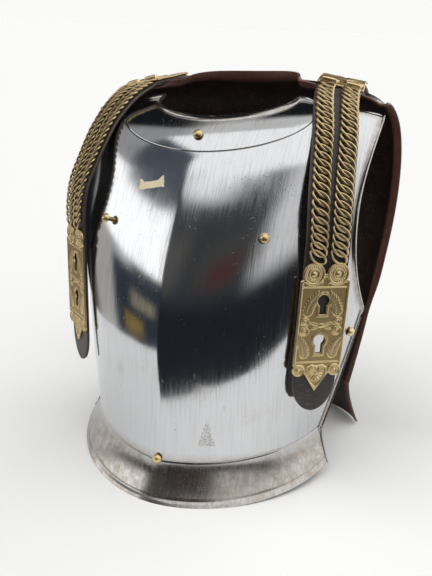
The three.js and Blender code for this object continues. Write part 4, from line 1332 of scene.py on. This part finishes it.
def strap_fittings(mirrored):
    """Everything of brass on a strap, apart from the chains."""
    hand = "right" if mirrored else "left"
    height = LEATHER_TOP + FRONT_PLATE["lift"]
    origin, side, up, outward = flat_on_strap(PLATE_START, FRONT_PLATE["point"], height)

    def on_flat(local):
        return origin + local[:, :1] * side + local[:, 1:2] * up + local[:, 2:] * outward

    cast_piece(f"keyhole_plate_{hand}", FRONT_SHEET, on_flat, mirrored, f"front_plate_{hand}")

    end = CHAIN_START - GAP
    back = LEATHER_TOP + REAR_PLATE["rise"]

    def on_rear(local):
        return on_strap(end + local[:, 1], local[:, 0], back + local[:, 2])

    cast_piece(f"rear_plate_{hand}", REAR_SHEET, on_rear, mirrored, f"rear_plate_{hand}")

    for which, sign in (("inner", -1), ("outer", 1)):

        def on_bar(local, sign=sign):
            height = back + REAR_PLATE["thickness"] + GAP + local[:, 2]
            return on_strap(
                end - BAR["length"] / 2 + local[:, 1], sign * CHAIN["high"] + local[:, 0], height
            )

        cast_piece(f"{which}_bar_{hand}", BAR_SHEET, on_bar, mirrored, f"{which}_bar_{hand}")
        point, along, across, normal = strap_frame(RIVET["from_end"])
        foot = point[0] + sign * RIVET["sideways"] * across[0] - RIVET["reach"] * normal[0]
        node = f"{which}_rivet_{hand}"
        pin_piece(node, foot, normal[0], RIVET["reach"] + LEATHER_TOP, RIVET, mirrored)


def pin_piece(node, foot, axis, shank, sizes, mirrored=False):
    """A domed pin: a round shank with a turned collar under a domed head."""
    radius, head, height = sizes["shank"], sizes["head"], sizes["height"]
    profile = [(radius, 0), (radius, max(shank - 0.5, 0.1))]
    profile += [(head * 0.86, shank - 0.05), (head, shank + 0.15)]
    dome = np.radians(np.arange(8, 89, 8))
    profile += [(head * cos(a), shank + 0.25 + (height - 0.25) * sin(a)) for a in dome]
    axis = unit(np.asarray(axis, float))
    across = unit(np.cross(axis, (0.31, 0.2, 0.93)))
    third = np.cross(axis, across)
    turn = np.linspace(0, 2 * pi, 33)[:-1]
    rings = [[foot + h * axis + r * (cos(a) * across + sin(a) * third) for a in turn] for r, h in profile]
    points, faces = ring_piece(rings)
    relief = np.repeat([0.15 if h < shank else 0.4 for _, h in profile], len(turn))
    piece = new_piece(node, placed(points, mirrored), faces, BRASS, {"relief_mm": relief}, sharp=40)
    return settle(piece, "brass", node)


# ---- Chains --------------------------------------------------------------------------------------


def curb_chain_tree():
    """Geometry Nodes that set a twisted oval link of round wire on every point, square to the strap."""
    tree = bpy.data.node_groups.new("curb_chain", "GeometryNodeTree")
    sockets = [
        ("Geometry", "INPUT", "NodeSocketGeometry"),
        ("Geometry", "OUTPUT", "NodeSocketGeometry"),
        ("Half length", "INPUT", "NodeSocketFloat"),
        ("Half width", "INPUT", "NodeSocketFloat"),
        ("Wire radius", "INPUT", "NodeSocketFloat"),
        ("Lean", "INPUT", "NodeSocketFloat"),
        ("Twist", "INPUT", "NodeSocketFloat"),
        ("Crossing", "INPUT", "NodeSocketFloat"),
        ("Material", "INPUT", "NodeSocketMaterial"),
    ]
    for name, way, kind in sockets:
        tree.interface.new_socket(name, in_out=way, socket_type=kind)
    given = add(tree, "NodeGroupInput").outputs

    circle = add(tree, "GeometryNodeCurvePrimitiveCircle", {"Resolution": 36, "Radius": 1.0})
    place = add(tree, "ShaderNodeSeparateXYZ", {0: add(tree, "GeometryNodeInputPosition")})
    long_way = add(
        tree, "ShaderNodeMath", {0: place.outputs["X"], 1: given["Half length"]}, operation="MULTIPLY"
    )
    short_way = add(
        tree, "ShaderNodeMath", {0: place.outputs["Y"], 1: given["Half width"]}, operation="MULTIPLY"
    )
    turn = add(
        tree, "ShaderNodeMath", {0: place.outputs["Y"], 1: place.outputs["X"]}, operation="ARCTAN2"
    )
    turn = add(tree, "ShaderNodeMath", {0: turn, 1: given["Crossing"]}, operation="SUBTRACT")
    turn = add(tree, "ShaderNodeMath", {0: turn, 1: 2.0}, operation="MULTIPLY")
    wave = add(tree, "ShaderNodeMath", {0: turn}, operation="SINE")
    wave = add(tree, "ShaderNodeMath", {0: wave, 1: given["Twist"]}, operation="MULTIPLY")
    oval = add(tree, "ShaderNodeCombineXYZ", {0: long_way, 1: short_way, 2: wave})
    leaning = add(
        tree, "ShaderNodeVectorRotate", {"Vector": oval, "Angle": given["Lean"]}, rotation_type="Z_AXIS"
    )
    bent = add(tree, "GeometryNodeSetPosition", {"Geometry": circle, "Position": leaning})
    wire = add(
        tree, "GeometryNodeCurvePrimitiveCircle", {"Resolution": 10, "Radius": given["Wire radius"]}
    )
    link = add(tree, "GeometryNodeCurveToMesh", {"Curve": bent, "Profile Curve": wire})
    # Each wire point's height above the link's middle is stored as relief_mm, and the chain brass darkens
    # the lower wire by it: painted shade.
    high = add(tree, "ShaderNodeSeparateXYZ", {0: add(tree, "GeometryNodeInputPosition")}).outputs["Z"]
    marked = add(
        tree,
        "GeometryNodeStoreNamedAttribute",
        {"Geometry": link, "Name": "relief_mm", "Value": high},
        data_type="FLOAT",
        domain="POINT",
    )
    outward = add(tree, "GeometryNodeInputNamedAttribute", {"Name": "outward"}, data_type="FLOAT_VECTOR")
    side = add(tree, "GeometryNodeInputNamedAttribute", {"Name": "side"}, data_type="FLOAT_VECTOR")
    square = add(
        tree,
        "FunctionNodeAxesToRotation",
        {"Primary Axis": outward, "Secondary Axis": side},
        primary_axis="Z",
        secondary_axis="X",
    )
    links = add(
        tree,
        "GeometryNodeInstanceOnPoints",
        {"Points": given["Geometry"], "Instance": marked, "Rotation": square},
    )
    real = add(tree, "GeometryNodeRealizeInstances", {"Geometry": links})
    smooth = add(tree, "GeometryNodeSetShadeSmooth", {"Geometry": real})
    done = add(tree, "GeometryNodeSetMaterial", {"Geometry": smooth, "Material": given["Material"]})
    add(tree, "NodeGroupOutput", {"Geometry": done})
    return tree


CURB_CHAIN = curb_chain_tree()


def link_crossing():
    """Where on a link its neighbour crosses it: the angle, on the oval, of the direction of the chain."""
    lean = radians(-CHAIN["lean"])
    return atan2(CHAIN["pitch"] * cos(lean) / CHAIN["short"], CHAIN["pitch"] * sin(lean) / CHAIN["long"])


def chain_piece(which, sign, mirrored):
    """One curb chain, from its bar to the front plate."""
    count = np.arange(CHAIN["links"])
    share = (count + 0.5) / CHAIN["links"]
    distance = CHAIN_START + (count + 0.5) * CHAIN["pitch"]
    sideways = sign * mix(CHAIN["high"], CHAIN["low"], share)
    centres = on_strap(distance, sideways, LEATHER_TOP + CHAIN["height"] / 2)
    _, _, side, outward = strap_frame(distance)
    mesh = bpy.data.meshes.new("links")
    mesh.from_pydata(centres.tolist(), [], [])
    for name, vectors in (("side", side), ("outward", outward)):
        mesh.attributes.new(name, "FLOAT_VECTOR", "POINT").data.foreach_set(
            "vector", vectors.astype(np.float32).ravel()
        )
    draft = bpy.data.objects.new("links", mesh)
    bpy.context.scene.collection.objects.link(draft)
    nodes = draft.modifiers.new("curb_chain", "NODES")
    nodes.node_group = CURB_CHAIN
    values = {
        "Half length": float(CHAIN["long"]),
        "Half width": float(CHAIN["short"]),
        "Wire radius": float(CHAIN["wire"]),
        "Lean": radians(-CHAIN["lean"]),
        "Twist": float(CHAIN["twist"]),
        "Crossing": link_crossing(),
        "Material": CHAIN_BRASS,
    }
    for socket in CURB_CHAIN.interface.items_tree:
        if socket.in_out == "INPUT" and socket.name in values:
            nodes[socket.identifier] = values[socket.name]
    baked(draft)
    made = draft.data
    points = np.zeros(len(made.vertices) * 3, np.float32)
    made.vertices.foreach_get("co", points)
    relief = np.zeros(len(made.vertices), np.float32)
    made.attributes["relief_mm"].data.foreach_get("value", relief)
    faces = [list(face.vertices) for face in made.polygons]
    bpy.data.objects.remove(draft)
    hand = "right" if mirrored else "left"
    node = f"{which}_chain_{hand}"
    piece = new_piece(node, placed(points, mirrored), faces, CHAIN_BRASS, {"relief_mm": relief}, sharp=80)
    return settle(piece, "chain_brass", node)


FRONT_SHEET = relief_sheet(
    front_plate_outline, front_plate_relief, FRONT_PLATE["thickness"], (-25.5, 25.5), (-132.5, 0.5), 0.46
)
REAR_SHEET = relief_sheet(
    rear_plate_outline, rear_plate_relief, REAR_PLATE["thickness"] - 0.5, (-24.5, 24.5), (-64, 0.5), 0.6
)
BAR_SHEET = relief_sheet(bar_outline, bar_relief, 1.0, (-7.5, 7.5), (-3, 3), 0.3)

for is_mirrored in (False, True):
    strap_piece(is_mirrored)
    strap_fittings(is_mirrored)
    chain_piece("inner", -1, is_mirrored)
    chain_piece("outer", 1, is_mirrored)

breast_surface = plate_surface(BREAST)
for stud, (at, shank_length) in STUDS.items():
    spot_angle, spot_station = np.array([at[0]], float), np.array([at[1]], float)
    axis = plate_normal(breast_surface, spot_angle, spot_station)[0]
    foot_point = breast_surface(spot_angle, spot_station)[0] + GAP * axis
    pin_piece(stud, foot_point, axis, shank_length, STUD)

# ---- Room, light and camera ----------------------------------------------------------------------

CAMERA = {
    "place": (0.315, -0.752, 0.4647),
    "looks_at": (-0.01695, 0.02973, 0.16713),
    "roll": 1.93,
    "lens": 48.13,
}


def add_camera():
    data = bpy.data.cameras.new("camera")
    data.lens = CAMERA["lens"]
    data.sensor_width = 36
    data.clip_end = 100
    camera = bpy.data.objects.new("camera", data)
    place = Vector(CAMERA["place"])
    ahead = (Vector(CAMERA["looks_at"]) - place).normalized()
    right = ahead.cross(Vector((0, 0, 1))).normalized()
    up = right.cross(ahead)
    roll = radians(CAMERA["roll"])
    right, up = right * cos(roll) + up * sin(roll), up * cos(roll) - right * sin(roll)
    turn = Matrix((right, up, -ahead)).transposed().to_4x4()
    camera.matrix_world = Matrix.Translation(place) @ turn
    bpy.context.scene.collection.objects.link(camera)
    bpy.context.scene.camera = camera


# The room as the polished steel mirrors it. Azimuth 0 is in front of the wearer and 90 at the wearer's
# left; angles are in degrees. Each screen has its azimuths, its elevations, the softness of its edges, its
# brightness and its colour, and covers those before it. CLIMB says how fast a screen's lower and upper
# edges rise with the azimuth.
SCREENS = [
    ("floor beyond", (-62, 80), (-85, 8), 5, 0.045, "#a8b4c8"),
    ("dark room", (-62, 56), (0, 60), 6, 0.075, "#b4bfd0"),
    ("dusky wall", (-42, -6), (9, 31), 8, 0.15, "#e0dcd4"),
    ("far shelves", (0, 32), (9, 29), 8, 0.1, "#d4d4d0"),
    ("window", (36, 62), (5, 33), 7, 0.8, "#ffffff"),
    ("ceiling", (-38, 180), (38.5, 200), 2, 1.25, "#ffffff"),
    ("loft", (-80, -38), (12, 50), 4, 0.17, "#b8c6dc"),
    ("gallery", (-102, -78), (2, 60), 6, 0.5, "#e2e4e6"),
    ("skylight", (-80, 260), (50, 200), 3, 1.25, "#ffffff"),
    ("doorway", (-190, -101), (-24, 60), 6, 0.03, "#9aa0b0"),
    ("grey wall", (-108, -76), (-22, 6), 6, 0.6, "#e8e6e2"),
    ("shelf", (-81, -38), (-22, 0), 2.5, 0.09, "#a4b8d4"),
    ("softbox", (-98, -40), (1.5, 12), 1.5, 1.6, "#ffffff"),
    ("card", (-64, -44), (-9, -3), 2, 0.42, "#d8ccb0"),
    ("lamp", (-71, -55), (-19, -13), 2, 0.5, "#c8a860"),
    ("red chair", (11, 27), (8, 19), 5, 0.15, "#c88c86"),
]
CLIMB = {"shelf": (0, 0.23), "softbox": (0.145, 0.36)}
OPEN_ROOM = "#dcdcda"
BACKDROP = "#fafaf9"
TABLE_WHITE = "#efefee"
CEILING_DIP = 0.0038  # the ceiling's edge is lower to the left by this, times the square of the azimuth
TABLE = [
    (-0.55, 1.6),
    (-0.51, -0.16),
    (-0.43, -0.31),
    (-0.28, -0.45),
    (-0.06, -0.35),
    (0.12, -0.35),
    (0.9, 0.0),
    (0.9, 1.6),
]
FLOOR = [(-40, -40), (40, -40), (40, 40), (-40, 40)]
OVERHEAD = {"strength": 1.06, "spread": 60, "from": (-0.4, -0.45, 1.0)}


def add_room():
    world = bpy.data.worlds.new("studio")
    world.use_nodes = True
    tree = world.node_tree
    tree.nodes.clear()
    direction = add(tree, "ShaderNodeTexCoord").outputs["Generated"]
    way = add(tree, "ShaderNodeSeparateXYZ", {0: direction}).outputs
    ahead = add(tree, "ShaderNodeMath", {0: way["Y"], 1: -1.0}, operation="MULTIPLY")
    azimuth = add(tree, "ShaderNodeMath", {0: way["X"], 1: ahead}, operation="ARCTAN2")
    azimuth = add(tree, "ShaderNodeMath", {0: azimuth}, operation="DEGREES")
    elevation = add(tree, "ShaderNodeMath", {0: way["Z"]}, operation="ARCSINE")
    elevation = add(tree, "ShaderNodeMath", {0: elevation}, operation="DEGREES")

    leftward = add(tree, "ShaderNodeMath", {0: azimuth, 1: 0.0}, operation="MAXIMUM")
    dip = add(tree, "ShaderNodeMath", {0: leftward, 1: leftward}, operation="MULTIPLY")
    under_ceiling = add(
        tree, "ShaderNodeMath", {0: dip, 1: CEILING_DIP, 2: elevation}, operation="MULTIPLY_ADD"
    )

    light = colour(OPEN_ROOM)
    for name, (left, right), (low, high), soft, brightness, shade in SCREENS:
        height = under_ceiling if name == "ceiling" else elevation
        low_climb, high_climb = CLIMB.get(name, (0, 0))
        bottom = add(
            tree, "ShaderNodeMath", {0: azimuth, 1: -low_climb, 2: height}, operation="MULTIPLY_ADD"
        )
        top = add(
            tree, "ShaderNodeMath", {0: azimuth, 1: -high_climb, 2: height}, operation="MULTIPLY_ADD"
        )
        borders = [
            (azimuth, left, 0.0, 1.0),
            (azimuth, right, 1.0, 0.0),
            (bottom, low - low_climb * left, 0.0, 1.0),
            (top, high - high_climb * left, 1.0, 0.0),
        ]
        mask = 1.0
        for value, border, before, after in borders:
            inputs = {0: value, 1: border - soft, 2: border + soft, 3: before, 4: after}
            within = add(tree, "ShaderNodeMapRange", inputs, interpolation_type="SMOOTHSTEP")
            mask = add(tree, "ShaderNodeMath", {0: within, 1: mask}, operation="MULTIPLY")
        tone = [channel * brightness for channel in colour(shade)]
        light = add(tree, "ShaderNodeMix", {0: mask, 6: light, 7: tone}, data_type="RGBA")
    seen = add(tree, "ShaderNodeLightPath").outputs["Is Camera Ray"]
    backdrop = add(tree, "ShaderNodeMix", {0: seen, 6: light, 7: colour(BACKDROP)}, data_type="RGBA")
    sky = add(tree, "ShaderNodeBackground", {"Color": backdrop, "Strength": 1.0})
    add(tree, "ShaderNodeOutputWorld", {"Surface": sky})
    bpy.context.scene.world = world


def add_overhead():
    """One broad, soft light from the upper left, which the steel does not mirror."""
    data = bpy.data.lights.new("overhead", "SUN")
    data.energy = OVERHEAD["strength"]
    data.angle = radians(OVERHEAD["spread"])
    lamp = bpy.data.objects.new("overhead", data)
    lamp.rotation_euler = Vector(OVERHEAD["from"]).to_track_quat("Z", "Y").to_euler()
    lamp.visible_glossy = False
    bpy.context.scene.collection.objects.link(lamp)


def add_floor():
    """A white table that the steel mirrors, and beyond its edges a floor of the same white that only
    the camera sees."""
    material, tree = new_material("white_paper_sweep")
    paper = add(
        tree, "ShaderNodeBsdfPrincipled", {"Base Color": colour(TABLE_WHITE), "Specular IOR Level": 0.0}
    )
    add(tree, "ShaderNodeOutputMaterial", {"Surface": paper})
    for name, corners, level in (("table", TABLE, 0.0), ("floor", FLOOR, -0.0004)):
        mesh = bpy.data.meshes.new(name)
        mesh.from_pydata([(x, y, level) for x, y in corners], [], [range(len(corners))])
        mesh.materials.append(material)
        sheet = bpy.data.objects.new(name, mesh)
        bpy.context.scene.collection.objects.link(sheet)
        if name == "floor":
            sheet.visible_glossy = False
            sheet.visible_diffuse = False
            sheet.visible_transmission = False


add_camera()
add_room()
add_overhead()
add_floor()
bpy.context.scene.view_settings.view_transform = "Standard"
